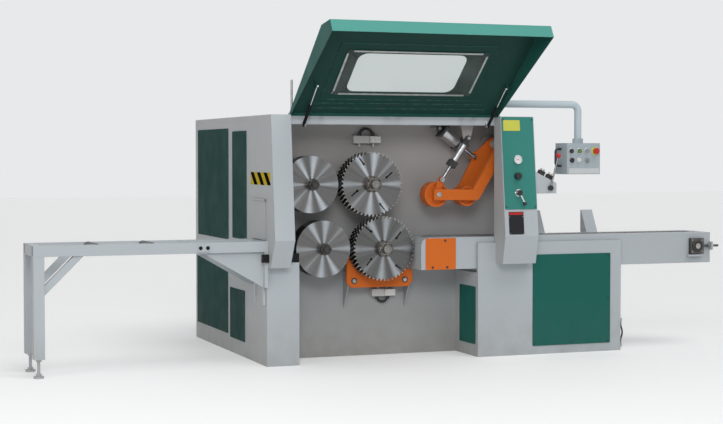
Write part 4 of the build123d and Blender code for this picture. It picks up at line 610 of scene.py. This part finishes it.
def slab(form, at, across, along, sizes, corner=0.003, steps=4):
    """A plate with rounded corners and a chamfered front, centred on a point of the face that carries it."""
    across, along = Vector(across).normalized(), Vector(along).normalized()
    normal = across.cross(along)
    half_w, half_h = sizes[0] / 2, sizes[1] / 2
    chamfer = min(corner * 0.4, sizes[2] * 0.5)
    rings = []
    for inset, height in ((0, 0), (0, sizes[2] - chamfer), (chamfer, sizes[2])):
        ring = []
        for quarter, (sx, sy) in enumerate(((1, 1), (-1, 1), (-1, -1), (1, -1))):
            for step in range(steps + 1):
                angle = (quarter + step / steps) * pi / 2
                u = sx * (half_w - corner) + (corner - inset) * cos(angle)
                v = sy * (half_h - corner) + (corner - inset) * sin(angle)
                ring.append(form.verts.new(Vector(at) + across * u + along * v + normal * height))
        rings.append(ring)
    for low, high in zip(rings, rings[1:]):
        wall_between(form, low, high)
    form.faces.new(rings[0])
    form.faces.new(rings[-1])


# Screws of the covers, the hinges and the bed's nose

LEFT_COVERS = (((0.000, 0.850), (0.805, 1.602)), ((-0.460, -0.108), (0.825, 1.580)),
               ((0.020, 0.880), (0.125, 0.700)), ((-0.410, -0.040), (0.107, 0.466)))
WING_COVER = ((0.994, 1.616), (0.060, 0.708))
WING_SIDE_COVER = ((-0.921, -0.652), (0.085, 0.490))
CONSOLE_SCREWS_X, CONSOLE_SCREWS_Z = (0.722, 0.943), (1.052, 1.658)
SCREW_INSET, SCREW_R, SMALL_SCREW_R = 0.018, 0.007, 0.006
HINGES_X, HINGE_TOP = (-0.6120, -0.0585, 0.4950), 1.686
HINGE_SCREWS_X, HINGE_SCREWS_Y, HINGE_SCREW_R = (-0.045, 0.045), (-0.912, -0.884), 0.005
NOSE_FRONT, NOSE_SCREWS = -0.934, ((0.330, 0.819), (0.236, 0.634), (0.346, 0.634))
NOSE_SCREW = [(0.0085, 0), (0.0085, 0.0025), (0.005, 0.0045), (0, 0.0045)]


def cover_edges(*spans):
    """Screw places round a cover's edge."""
    inner = [(low + SCREW_INSET, high - SCREW_INSET) for low, high in spans]
    across, up = [(span[0], middle(span), span[1]) for span in inner]
    return [(w, h) for w in across for h in up if (w, h) != (across[1], up[1])]


with piece("cover_screws", screw_green, "green_paint") as screws:
    for cover in LEFT_COVERS:
        for y, z in cover_edges(*cover):
            dome_screw(screws, (LEFT - COVER_T, y, z), -X, SCREW_R)
    for x, z in cover_edges(*WING_COVER):
        dome_screw(screws, (x, WING_FRONT - COVER_T, z), -Y, SCREW_R)
    for y, z in cover_edges(*WING_SIDE_COVER):
        dome_screw(screws, (WING_LEFT - COVER_T, y, z), -X, SMALL_SCREW_R)
    for z, x in product(CONSOLE_SCREWS_Z, CONSOLE_SCREWS_X):
        dome_screw(screws, on_slope(x, z, COVER_T), SLOPE_NORMAL, SMALL_SCREW_R)

with piece("hinge_screws", steel, "machined_steel") as screws:
    for x, across, y in product(HINGES_X, HINGE_SCREWS_X, HINGE_SCREWS_Y):
        dome_screw(screws, (x + across, y, HINGE_TOP), Z, HINGE_SCREW_R)

with piece("nose_screws", black_plastic, "black_plastic") as screws:
    for x, z in NOSE_SCREWS:
        lathe(screws, (x, NOSE_FRONT, z), -Y, NOSE_SCREW, 16)

# Bolts of the lower bracket, the housings, the take-up screws, the outfeed feet and the log guides
BRACKET_BOLTS_X, BRACKET_BOLTS_Z, BRACKET_BOLT_R = (-0.252, 0.128), 0.536, 0.011
BRACKET_FRONT, BRACKET_WASHER_T = -0.690, 0.003
BRACKET_WASHER = [(0.022, 0), (0.022, 0.002), (0.0205, BRACKET_WASHER_T)]
HOUSING_BOLTS_R, HOUSING_FRONT, BOLT_R = 0.082, PLATE_FRONT - 0.015, 0.008
END_PLATE_X, TAKE_UP_SCREWS_Y = (2.460, 2.472), (-0.9453, -0.5747)
TAKE_UP_NUT = [(0.0165, 0), (0.0165, 0.012), (0.014, 0.014)]
FOOT_X, FEET_Y, FOOT_NUTS_Z = -2.470, (-0.930, -0.590), (0.014, 0.120)
FOOT_NUT = [(0.020, 0), (0.020, 0.012), (0.017, 0.015)]
GUIDES_X, GUIDE_BOLTS_X, GUIDE_BACK, GUIDE_BOLTS_Z = (1.188, 1.624), (0.026, 0.066), -0.580, 0.805
with piece("bracket_washers", rubber, "black_plastic") as washers:
    for x in BRACKET_BOLTS_X:
        lathe(washers, (x, BRACKET_FRONT, BRACKET_BOLTS_Z), -Y, BRACKET_WASHER, 28)

with piece("frame_bolts", steel, "machined_steel") as bolts:
    for x in BRACKET_BOLTS_X:
        hex_bolt(bolts, (x, BRACKET_FRONT - BRACKET_WASHER_T, BRACKET_BOLTS_Z), -Y, BRACKET_BOLT_R)
    for axis, step in product(ARBORS.values(), range(6)):
        hex_bolt(bolts, on_circle(axis, HOUSING_BOLTS_R, step * pi / 3, HOUSING_FRONT), -Y, BOLT_R)
    for y in TAKE_UP_SCREWS_Y:
        lathe(bolts, (END_PLATE_X[1], y, TAIL[1]), X, TAKE_UP_NUT, 6)
        lathe(bolts, (END_PLATE_X[0], y, TAIL[1]), -X, TAKE_UP_NUT, 6)
    for y in FEET_Y:
        lathe(bolts, (FOOT_X, y, FOOT_NUTS_Z[1]), -Z, FOOT_NUT, 6)
        lathe(bolts, (FOOT_X, y, FOOT_NUTS_Z[0]), Z, FOOT_NUT, 6)
    for x, along in product(GUIDES_X, GUIDE_BOLTS_X):
        hex_bolt(bolts, (x + along, GUIDE_BACK, GUIDE_BOLTS_Z), Y, BOLT_R)

# Outfeed rails: bolts where they meet the bracket, and the stop block under the front one's end
SPLICE_BOLTS_X, SPLICE_BOLTS_Z, SPLICE_BOLT_R = (-1.422, -1.374), 0.805, 0.0095
RAIL_FRONT, RAIL_BACK = -0.966, -0.554
STOP_BLOCK_AT, STOP_BLOCK = (-0.984, -0.960, 0.727), (0.048, 0.054, 0.022)
with piece("splice_bolts", strut_black, "machined_steel") as bolts:
    for x in SPLICE_BOLTS_X:
        hex_bolt(bolts, (x, RAIL_FRONT, SPLICE_BOLTS_Z), -Y, SPLICE_BOLT_R)
        hex_bolt(bolts, (x, RAIL_BACK, SPLICE_BOLTS_Z), Y, SPLICE_BOLT_R)

with piece("stop_block", strut_black, "black_plastic") as block:
    slab(block, STOP_BLOCK_AT, X, Z, STOP_BLOCK, 0.004)

# Channel on the left wall under the outfeed bracket
CHANNEL_Y, CHANNEL_Z = (-0.880, -0.675), (0.408, 0.740)
CHANNEL_EDGE_W, CHANNEL_EDGE_T, CHANNEL_T = 0.018, 0.012, 0.002
CHANNEL_SCREWS, CHANNEL_SCREW_R = (-0.135, 0.0, 0.135), 0.005
channel_z = middle(CHANNEL_Z)
with piece("wall_channel", grey_paint, "grey_paint") as channel:
    slab(channel, (LEFT, middle(CHANNEL_Y), channel_z), -Y, Z,
         (extent(CHANNEL_Y), extent(CHANNEL_Z), CHANNEL_T))

with piece("channel_edges", pale_plate, "grey_paint") as edges:
    for y in CHANNEL_Y:
        slab(edges, (LEFT, y, channel_z), -Y, Z, (CHANNEL_EDGE_W, extent(CHANNEL_Z), CHANNEL_EDGE_T))
        for up in CHANNEL_SCREWS:
            dome_screw(edges, (LEFT - CHANNEL_EDGE_T, y, channel_z + up), -X, CHANNEL_SCREW_R)

# Plain covers on the right wall and the roof, and screws round them and along the roof's edges
SIDE_COVER_Y, SIDE_COVER_Z = (-0.150, 0.850), (0.320, 1.520)
ROOF_COVER_X, ROOF_COVER_Y = (-0.780, 0.780), (-0.360, 0.820)
PANEL_T, PANEL_CORNER = 0.003, 0.012
ROOF_SCREWS_X, ROOF_SCREWS_Y = (-0.925, 0.925), (-0.560, -0.220, 0.120, 0.460, 0.800)
with piece("side_cover", grey_paint, "grey_paint") as cover:
    slab(cover, (RIGHT, middle(SIDE_COVER_Y), middle(SIDE_COVER_Z)), Y, Z,
         (extent(SIDE_COVER_Y), extent(SIDE_COVER_Z), PANEL_T), PANEL_CORNER)

with piece("roof_cover", grey_paint, "grey_paint") as cover:
    slab(cover, (middle(ROOF_COVER_X), middle(ROOF_COVER_Y), ROOF_TOP), X, Y,
         (extent(ROOF_COVER_X), extent(ROOF_COVER_Y), PANEL_T), PANEL_CORNER)

with piece("panel_screws", steel, "machined_steel") as screws:
    for y, z in cover_edges(SIDE_COVER_Y, SIDE_COVER_Z):
        dome_screw(screws, (RIGHT + PANEL_T, y, z), X, SCREW_R)
    for x, y in cover_edges(ROOF_COVER_X, ROOF_COVER_Y):
        dome_screw(screws, (x, y, ROOF_TOP + PANEL_T), Z, SCREW_R)
    for y, x in product(ROOF_SCREWS_Y, ROOF_SCREWS_X):
        dome_screw(screws, (x, y, ROOF_TOP), Z, SCREW_R)

# Stripes on the left wall, and bare plates on the console
PLATE_T, PLATE_CORNER, STRIP_T, STRIP_CORNER = 0.0015, 0.004, 0.0006, 0.002
RIVETS_X, RIVETS_Z, RIVET = (0.743, 0.843), (0.868, 0.985), [(0.003, 0), (0.0024, 0.0012), (0, 0.0016)]
with piece("stripe_plate", striped("stripes"), "grey_paint") as plate:
    slab(plate, (LEFT, -0.788, 1.254), -Y, Z, (0.450, 0.084, PLATE_T), PLATE_CORNER)

with piece("bare_yellow_plate", yellow_plate, "grey_paint") as plate:
    slab(plate, on_slope(0.786, 1.617, COVER_T), X, SLOPE_UP, (0.128, 0.075, PLATE_T), PLATE_CORNER)

with piece("bare_dark_plate", dark_plate, "black_plastic") as plate:
    slab(plate, on_slope(0.793, 0.940), X, SLOPE_UP, (0.115, 0.158, PLATE_T), PLATE_CORNER)

with piece("bare_red_strip", red_strip, "red_button") as plate:
    slab(plate, on_slope(0.793, 1.006, PLATE_T), X, SLOPE_UP, (0.107, 0.018, STRIP_T), STRIP_CORNER)

with piece("plate_rivets", bright_steel, "machined_steel") as rivets:
    for x, z in product(RIVETS_X, RIVETS_Z):
        lathe(rivets, on_slope(x, z, PLATE_T), SLOPE_NORMAL, RIVET, 12)

# Gauge: dial, marks and needle
GAUGE_PROUD, DIAL_R, DIAL_T, MARKS_R = 0.016, 0.0268, 0.0006, 0.0245
DIAL = [(DIAL_R, 0.0001), (DIAL_R, DIAL_T), (0, DIAL_T)]
MARKS, MARK_START, MARK_STEP, LONG_EVERY = 11, 225, 27, 5
LONG_MARK, SHORT_MARK, MARK_W, MARK_T = 0.006, 0.004, 0.0012, 0.0003
NEEDLE_ANGLE, NEEDLE, NEEDLE_OFF, NEEDLE_LIFT = radians(150), (0.030, 0.0014, 0.0005), 0.006, 0.0012
NEEDLE_HUB = [(0.003, 0), (0.003, 0.0016), (0, 0.002)]
gauge_at = on_slope(0.817, 1.378, COVER_T + GAUGE_PROUD)
dial_at = gauge_at + SLOPE_NORMAL * DIAL_T
with piece("gauge_dial", dial_white, "gauge_chrome") as dial:
    lathe(dial, gauge_at, SLOPE_NORMAL, DIAL, 40)

with piece("gauge_marks", black_plastic, "black_plastic") as marks:
    for step in range(MARKS):
        angle = radians(MARK_START - MARK_STEP * step)
        ray = X * cos(angle) + SLOPE_UP * sin(angle)
        length = SHORT_MARK if step % LONG_EVERY else LONG_MARK
        slab(marks, dial_at + ray * (MARKS_R - length / 2), ray, SLOPE_NORMAL.cross(ray),
             (length, MARK_W, MARK_T), 0.0002, 1)
    needle = X * cos(NEEDLE_ANGLE) + SLOPE_UP * sin(NEEDLE_ANGLE)
    slab(marks, gauge_at + SLOPE_NORMAL * NEEDLE_LIFT + needle * NEEDLE_OFF, needle,
         SLOPE_NORMAL.cross(needle), NEEDLE, 0.0005, 2)
    lathe(marks, dial_at, SLOPE_NORMAL, NEEDLE_HUB, 16)

# Bright ring round the console lever's hub
LEVER_RING = [(0.0187, 0), (0.027, 0), (0.027, 0.003), (0.0255, 0.0045), (0.0187, 0.0045)]
with piece("lever_ring", chrome, "machined_steel") as ring:
    lathe(ring, on_slope(0.818, 1.149, COVER_T), SLOPE_NORMAL, LEVER_RING, 40, hollow=True)

# Saw blades: hooked teeth over round gullets, each blade turned on a little from the one before it
TEETH, SAW_R, SAW_BORE, BLADE_FRONT = 48, 0.225, 0.0301, -0.826
BLADE_T, BLADE_PITCH, BLADES, BLADE_TURN = 0.004, 0.032, 5, 0.37
# Share of the pitch and drop below the tip circle, round one tooth; a carbide tip adds half its thickness
TOOTH = ((0.02, 0.0150), (0.12, 0.0085), (0.20, 0.0), (0.34, 0.0034), (0.50, 0.0078), (0.64, 0.0128),
         (0.78, 0.0166), (0.91, 0.0174))
TIP = ((0.115, 0.0088, 0.0024), (0.250, 0.0092, 0.0024), (0.330, 0.0028, 0.0029), (0.193, 0.0003, 0.0029))
# Raker slots: radius of the middle and degrees round the blade
RAKERS = ((0.142, 0), (0.176, 90), (0.142, 180), (0.176, 270))
RAKER_HALF, RAKER_TURN, RAKER_W, RAKER_EYE = 0.026, radians(13), 0.0052, 0.0090


def raker_slot(axis, radius, angle):
    """Outline of a slot that ends in a round eye nearer the arbor."""
    centre = on_circle(axis, radius, angle)
    way = on_circle((0, 0), 1, angle + RAKER_TURN)
    side = on_circle((0, 0), 1, angle + RAKER_TURN + pi / 2)
    inner, outer = centre - way * RAKER_HALF, centre + way * RAKER_HALF
    mouth = asin(RAKER_W / RAKER_EYE)
    eye = [mouth + (2 * pi - 2 * mouth) * step / 14 for step in range(15)]
    cap = [-pi / 2 + pi * step / 6 for step in range(7)]
    return ([inner + (way * cos(turn) + side * sin(turn)) * RAKER_EYE for turn in eye]
            + [outer + (way * cos(turn) + side * sin(turn)) * RAKER_W for turn in cap])


def saw(name, turn, color, painted_highlight_strength):
    """The blades of one arbor, in place of the plain ones, and their carbide tips."""
    node, body = f"{name}_saw_blades", f"{name}_saw"
    axis, pitch = ARBORS[body], 2 * pi / TEETH
    stack = [(blade * BLADE_TURN, BLADE_FRONT + blade * BLADE_PITCH) for blade in range(BLADES)]
    finish = ground_disc(f"{node}_steel", color, axis, painted_highlight_strength, lit_rim=True)
    with piece(f"{name}_blades", finish, "blade_steel", body, node) as blades:
        for lead, y in stack:
            outlines = [[on_circle(axis, SAW_R - drop, (tooth + lead + share) * pitch)
                         for tooth in range(TEETH) for share, drop in TOOTH],
                        [on_circle(axis, SAW_BORE, 2 * pi * step / 40) for step in range(40)]]
            outlines += [raker_slot(axis, radius, radians(turn + ahead)) for radius, ahead in RAKERS]
            edges = []
            for outline in outlines:
                ring = [blades.verts.new(point + Y * y) for point in outline]
                edges += [blades.edges.new(ends) for ends in zip(ring, ring[1:] + ring[:1])]
            filled = bmesh.ops.triangle_fill(blades, edges=edges, use_beauty=True)["geom"]
            faces = [item for item in filled if isinstance(item, bmesh.types.BMFace)]
            extruded = bmesh.ops.extrude_face_region(blades, geom=faces, use_keep_orig=True)["geom"]
            back = [item for item in extruded if isinstance(item, bmesh.types.BMVert)]
            bmesh.ops.translate(blades, vec=Y * BLADE_T, verts=back)
    with piece(f"{name}_tips", carbide, "blade_steel", body) as tips:
        for (lead, y), tooth in product(stack, range(TEETH)):
            near, far = [], []
            for share, drop, half_t in TIP:
                angle = (tooth + lead + share) * pitch
                near.append(tips.verts.new(on_circle(axis, SAW_R - drop, angle, y + BLADE_T / 2 - half_t)))
                far.append(tips.verts.new(on_circle(axis, SAW_R - drop, angle, y + BLADE_T / 2 + half_t)))
            prism(tips, near, far)


# Each saw with its steel and the strength of its painted highlights
saw("upper", 26, BLADE, 0.95)
# The lower saw is painted a darker shade, with weaker painted highlights
saw("lower", 40, SHADED_LOWER_BLADE, 0.6)

# Bolt rings on the clamps of the saws
ARBOR_END, CLAMP_FRONT, CLAMP_BOLTS_R = -0.908, -0.866, 0.046
CLAMP_BOLT = [(0.0055, 0), (0.0055, 0.005), (0.0045, 0.006), (0.0028, 0.006), (0.0026, 0.003), (0, 0.003)]
for name in ("upper_saw", "lower_saw"):
    with piece(f"{name}_bolts", oiled_steel, "dark_steel", name) as bolts:
        for step in range(6):
            at = on_circle(ARBORS[name], CLAMP_BOLTS_R, (step + 0.5) * pi / 3, CLAMP_FRONT)
            lathe(bolts, at, -Y, CLAMP_BOLT, 14)

# Ends of the arbors: a turned rim round a sunk centre, and a washer under each nut
SAW_END, DISC_END = (0.030, 0.0445, nut_steel), (0.025, 0.0395, oiled_steel)
for name, axis in ARBORS.items():
    shaft_r, washer_r, end_steel = DISC_END if "disc" in name else SAW_END
    hole_r = shaft_r + 0.001
    with piece(f"{name}_end", end_steel, "machined_steel", name) as rim:
        lathe(rim, (axis[0], ARBOR_END, axis[1]), -Y,
              [(shaft_r - 0.001, 0), (shaft_r - 0.001, 0.002), (shaft_r - 0.004, 0.0045),
               (shaft_r - 0.010, 0.0045), (shaft_r - 0.011, 0.001), (0.008, 0.001), (0.006, 0.0005),
               (0, 0.0005)], 40)
    with piece(f"{name}_washer", end_steel, "machined_steel", name) as washer:
        lathe(washer, (axis[0], CLAMP_FRONT, axis[1]), -Y,
              [(hole_r, 0), (washer_r, 0), (washer_r, 0.0025), (washer_r - 0.002, 0.004), (hole_r, 0.004)],
              48, hollow=True)

# Chain: side plates and pins along the straight runs
CHAIN_PITCH, CHAIN_START, CHAIN_LINKS, CHAIN_RUNS = 0.063, 0.279, 32, (0.092, -0.092)
LINK_T, LINK_L, LINK_H, LINK_HALF_W, PIN_HALF_L = 0.003, 0.083, 0.019, 0.0352, 0.041
PIN_HEAD = [(0.006, 0), (0.006, 0.003), (0.004, 0.004)]


def link_plate(form, x, y, z):
    """A flat link with round ends."""
    outline = []
    for end in (1, -1):
        centre = x + end * (LINK_L - LINK_H) / 2
        for step in range(7):
            angle = pi * step / 6 - end * pi / 2
            outline.append((centre + LINK_H / 2 * cos(angle), z + LINK_H / 2 * sin(angle)))
    near = [form.verts.new((px, y, pz)) for px, pz in outline]
    far = [form.verts.new((px, y + LINK_T, pz)) for px, pz in outline]
    prism(form, near, far)


with piece("chain_links", chain_steel, "dark_steel") as links:
    for run, number in product(CHAIN_RUNS, range(CHAIN_LINKS)):
        x = CHAIN_START + (number + 0.5) * CHAIN_PITCH
        outer = LINK_T if number % 2 else 0.0
        for side in (-1, 1):
            start = LOG_Y + side * (LINK_HALF_W + outer) - (LINK_T if side < 0 else 0)
            link_plate(links, x, start, TAIL[1] + run)
        for way, start in ((-Y, LOG_Y - PIN_HALF_L), (Y, LOG_Y + PIN_HALF_L)):
            pin_at = (x + CHAIN_PITCH / 2, start - way.y * LINK_T, TAIL[1] + run)
            lathe(links, pin_at, way, PIN_HEAD, 10)

# Take-up: flanged bearings on the blocks, and a ledge under each
BLOCK_FACES, BLOCK_BOLTS, BLOCK_BOLT_R = ((-0.9603, -Y), (-0.5597, Y)), (-0.0415, 0.0415), 0.0065
BEARING = [(0.0215, 0), (0.043, 0), (0.043, 0.005), (0.039, 0.008), (0.031, 0.009), (0.0285, 0.006),
           (0.0215, 0.006)]
BLOCK_PROUD, LEDGE_X, LEDGE_Z = 0.0303, TAIL[0] - 0.015, TAIL[1] - 0.070
LEDGE = (0.124, 0.014, 0.034)
with piece("take_up_bearings", oiled_steel, "dark_steel", "take_up") as bearings:
    for face, normal in BLOCK_FACES:
        lathe(bearings, (TAIL[0], face, TAIL[1]), normal, BEARING, 40, hollow=True)

with piece("take_up_bolts", nut_steel, "machined_steel", "take_up") as bolts:
    for (face, normal), across, up in product(BLOCK_FACES, BLOCK_BOLTS, BLOCK_BOLTS):
        hex_bolt(bolts, (TAIL[0] + across, face, TAIL[1] + up), normal, BLOCK_BOLT_R)

with piece("take_up_ledges", grey_paint, "grey_paint") as ledges:
    for face, normal in BLOCK_FACES:
        slab(ledges, (LEDGE_X, face - normal.y * BLOCK_PROUD, LEDGE_Z), -X * normal.y, Z, LEDGE)

# Nuts on the axles of the press rollers
AXLE_NUT_R = 0.014
for name, at, normal, body in (("front_axle_nut", (0.319, -0.856, 1.136), -Y, "front_press_arm"),
                               ("rear_axle_nut", (0.554, -0.664, 1.122), Y, "rear_press_arm")):
    with piece(name, steel, "machined_steel", body) as nut:
        hex_bolt(nut, at, normal, AXLE_NUT_R)

# Sprays: ferrules where the hoses meet the bars, and white blocks on the bars
SPRAY_BAR_Y, SPRAY_BAR_FRONT = PLATE_FRONT - 0.022, PLATE_FRONT - 0.044
HOSE_ENDS = ((-0.129, 1.546, 0.050, Z), (-0.008, 0.418, 0.040, -Z))
FERRULE = [(0.0145, 0), (0.0145, 0.008), (0.012, 0.010), (0.012, 0.020), (0.0095, 0.022)]
SPRAY_BLOCKS, SPRAY_BLOCK = ((-0.072, 1.520), (0.040, 0.444)), (0.080, 0.046, 0.014)
SPRAY_BOLTS_X, SPRAY_BOLT_R = (-0.028, 0.028), 0.005
with piece("spray_ferrules", oiled_steel, "dark_steel") as ferrules:
    for hose_x, end, radius, way in HOSE_ENDS:
        for side in (-1, 1):
            lathe(ferrules, (hose_x + side * radius, SPRAY_BAR_Y, end), way, FERRULE, 6)

with piece("spray_blocks", white_plastic, "white_paint") as blocks:
    for x, z in SPRAY_BLOCKS:
        slab(blocks, (x, SPRAY_BAR_FRONT, z), X, Z, SPRAY_BLOCK, 0.005)
        for across in SPRAY_BOLTS_X:
            hex_bolt(blocks, (x + across, SPRAY_BAR_FRONT - SPRAY_BLOCK[2], z), -Y, SPRAY_BOLT_R)

# Valve blocks on the sloping top of the hand lever's bracket
BRACKET_TOP, BRACKET_SLOPE_L = Vector((0.960, -1.040, 1.294)), 0.179
BRACKET_SLOPE = Vector((0.161, 0, -0.078)).normalized()
VALVE_SHARES, VALVE, FITTINGS_X = (0.30, 0.68), (0.046, 0.040, 0.034), (-0.011, 0.011)
FITTING = [(0.0075, 0), (0.0075, 0.006), (0.006, 0.007), (0.006, 0.014), (0.0045, 0.016)]
bracket_up = BRACKET_SLOPE.cross(Y)
valve_places = [BRACKET_TOP + BRACKET_SLOPE * BRACKET_SLOPE_L * share for share in VALVE_SHARES]
with piece("valve_blocks", black_plastic, "black_plastic") as valves:
    for at in valve_places:
        slab(valves, at, BRACKET_SLOPE, Y, VALVE, 0.004)

with piece("valve_fittings", nut_steel, "machined_steel") as fittings:
    for at, along in product(valve_places, FITTINGS_X):
        lathe(fittings, at + bracket_up * VALVE[2] + BRACKET_SLOPE * along, bracket_up, FITTING, 6)

# Pendant: bezels, lower row, lip and screws
UPPER_ROW_X, UPPER_ROW_Z, STOP_X, LOWER_ROW_Z = (1.287, 1.351, 1.411), 1.440, 1.478, 1.375
BEZEL = [(0.0215, 0), (0.0215, 0.003), (0.0195, 0.005), (0.0168, 0.005), (0.0168, 0.0)]
STOP_RING = [(0.029, 0), (0.029, 0.0015), (0.028, 0.002), (0.0118, 0.002), (0.0118, 0)]
CONTROL = [(0.018, 0), (0.018, 0.004), (0.0145, 0.006), (0.0145, 0.013), (0.012, 0.016), (0, 0.0175)]
GRIP, GRIP_PROUD = (0.007, 0.026, 0.009), 0.014
PENDANT_LIP_AT, PENDANT_LIP = (1.390, PENDANT_FRONT, 1.2975), (0.246, 0.040, 0.003)
PENDANT_SCREWS_X, PENDANT_SCREWS_Z, PENDANT_SCREW_R = (1.268, 1.512), (1.330, 1.486), 0.0045
with piece("button_bezels", anodised, "cylinder_tube", "pendant_box") as bezels:
    for x in UPPER_ROW_X:
        lathe(bezels, (x, PENDANT_FRONT, UPPER_ROW_Z), -Y, BEZEL, 32, hollow=True)

with piece("stop_ring", yellow_plate, "grey_paint", "pendant_box") as ring:
    lathe(ring, (STOP_X, PENDANT_FRONT, UPPER_ROW_Z), -Y, STOP_RING, 40, hollow=True)

for name, x, material, slot in (("black_selector", 1.294, black_plastic, "black_plastic"),
                                ("white_lamp", 1.348, white_plastic, "white_paint"),
                                ("grey_selector", 1.414, grey_plastic, "grey_button")):
    with piece(name, material, slot, "pendant_box") as control:
        lathe(control, (x, PENDANT_FRONT, LOWER_ROW_Z), -Y, CONTROL, 32)
        if "selector" in name:
            slab(control, (x, PENDANT_FRONT - GRIP_PROUD, LOWER_ROW_Z), X, Z, GRIP)

with piece("pendant_lip", pale_plate, "grey_paint", "pendant_box") as lip:
    slab(lip, PENDANT_LIP_AT, X, Z, PENDANT_LIP, 0.006)

with piece("pendant_screws", bright_steel, "machined_steel", "pendant_box") as screws:
    for x, z in product(PENDANT_SCREWS_X, PENDANT_SCREWS_Z):
        dome_screw(screws, (x, PENDANT_FRONT, z), -Y, PENDANT_SCREW_R)

# Window: screws along the four strips round it, at distances down the hood from its hinge
WINDOW_ROWS, WINDOW_ROW_X, WINDOW_STEP = (0.222, 0.633), -0.520, 0.146
WINDOW_SIDES_X, WINDOW_SIDE_ROWS = (-0.573, 0.409), (0.330, 0.4275, 0.525)
STRIP_FACE, WINDOW_SCREW_R = 0.012, 0.0042
window_places = [(WINDOW_ROW_X + step * WINDOW_STEP, down) for down in WINDOW_ROWS for step in range(7)]
window_places += product(WINDOW_SIDES_X, WINDOW_SIDE_ROWS)
with piece("window_screws", bright_steel, "machined_steel", "hood") as screws:
    for x, down in window_places:
        at = HOOD_HINGE + X * x + HOOD_DOWN * down - HOOD_OUT * STRIP_FACE
        dome_screw(screws, at, -HOOD_OUT, WINDOW_SCREW_R)


# Floor, backdrop and light

FLOOR_HALF, FLOOR_COLOR, FLOOR_GLOW = 40, (0.80, 0.80, 0.80), 0.22
WORLD_LIGHT, WORLD_SEEN = 0.38, 0.84


def seen_ray(tree):
    """One for the rays that show a surface: of the camera, in gloss and through glass."""
    path = tree.nodes.new("ShaderNodeLightPath")
    seen = path.outputs["Is Camera Ray"]
    for ray in ("Is Glossy Ray", "Is Transmission Ray"):
        highest = tree.nodes.new("ShaderNodeMath")
        highest.operation = "MAXIMUM"
        tree.links.new(seen, highest.inputs[0])
        tree.links.new(path.outputs[ray], highest.inputs[1])
        seen = highest.outputs[0]
    return seen


def stage_material(name, color):
    shader = Shader(name, color, 0.7)
    drift = shader.spread(shader.noise(0.8), 0.0, 1.0)
    shader.feed("Base Color", shader.mix(drift, tone(color, 0.985), color))
    shader.set("Emission Color", (1, 1, 1, 1))
    shader.feed("Emission Strength", shader.math("MULTIPLY", seen_ray(shader.tree), FLOOR_GLOW))
    return shader.material


floor_mesh = bpy.data.meshes.new("floor")
floor_mesh.from_pydata([(-FLOOR_HALF, -FLOOR_HALF, 0), (FLOOR_HALF, -FLOOR_HALF, 0),
                        (FLOOR_HALF, FLOOR_HALF, 0), (-FLOOR_HALF, FLOOR_HALF, 0)], [], [(0, 1, 2, 3)])
floor_mesh.materials.append(stage_material("floor_pale", FLOOR_COLOR))
floor = add_object("floor", floor_mesh)


def area_light(name, at, aim, size, watts):
    data = bpy.data.lights.new(name, "AREA")
    data.shape = "RECTANGLE"
    data.size, data.size_y = size
    data.energy = watts
    lamp = add_object(name, data)
    lamp.location = at
    lamp.rotation_euler = aimed(Vector(aim) - Vector(at))


area_light("key", at=(-2.4, -8.0, 4.2), aim=(0.2, -0.9, 1.0), size=(3.0, 2.4), watts=172)
area_light("fill", at=(-6.5, -4.5, 3.4), aim=(-0.8, -0.4, 0.9), size=(3.0, 2.4), watts=40)
sun_data = bpy.data.lights.new("sky", "SUN")
sun_data.energy = 1.0
sun_data.angle = radians(40)
sun = add_object("sky", sun_data)
sun.rotation_euler = aimed(Vector((-0.15, 0.42, -0.90)))

world = bpy.data.worlds.new("studio")
scene.world = world
world.use_nodes = True
tree = world.node_tree
background = tree.nodes["Background"]
background.inputs["Color"].default_value = (0.96, 0.97, 0.98, 1)
level = tree.nodes.new("ShaderNodeMapRange")
level.inputs["To Min"].default_value = WORLD_LIGHT
level.inputs["To Max"].default_value = WORLD_SEEN
tree.links.new(seen_ray(tree), level.inputs["Value"])
tree.links.new(level.outputs["Result"], background.inputs["Strength"])
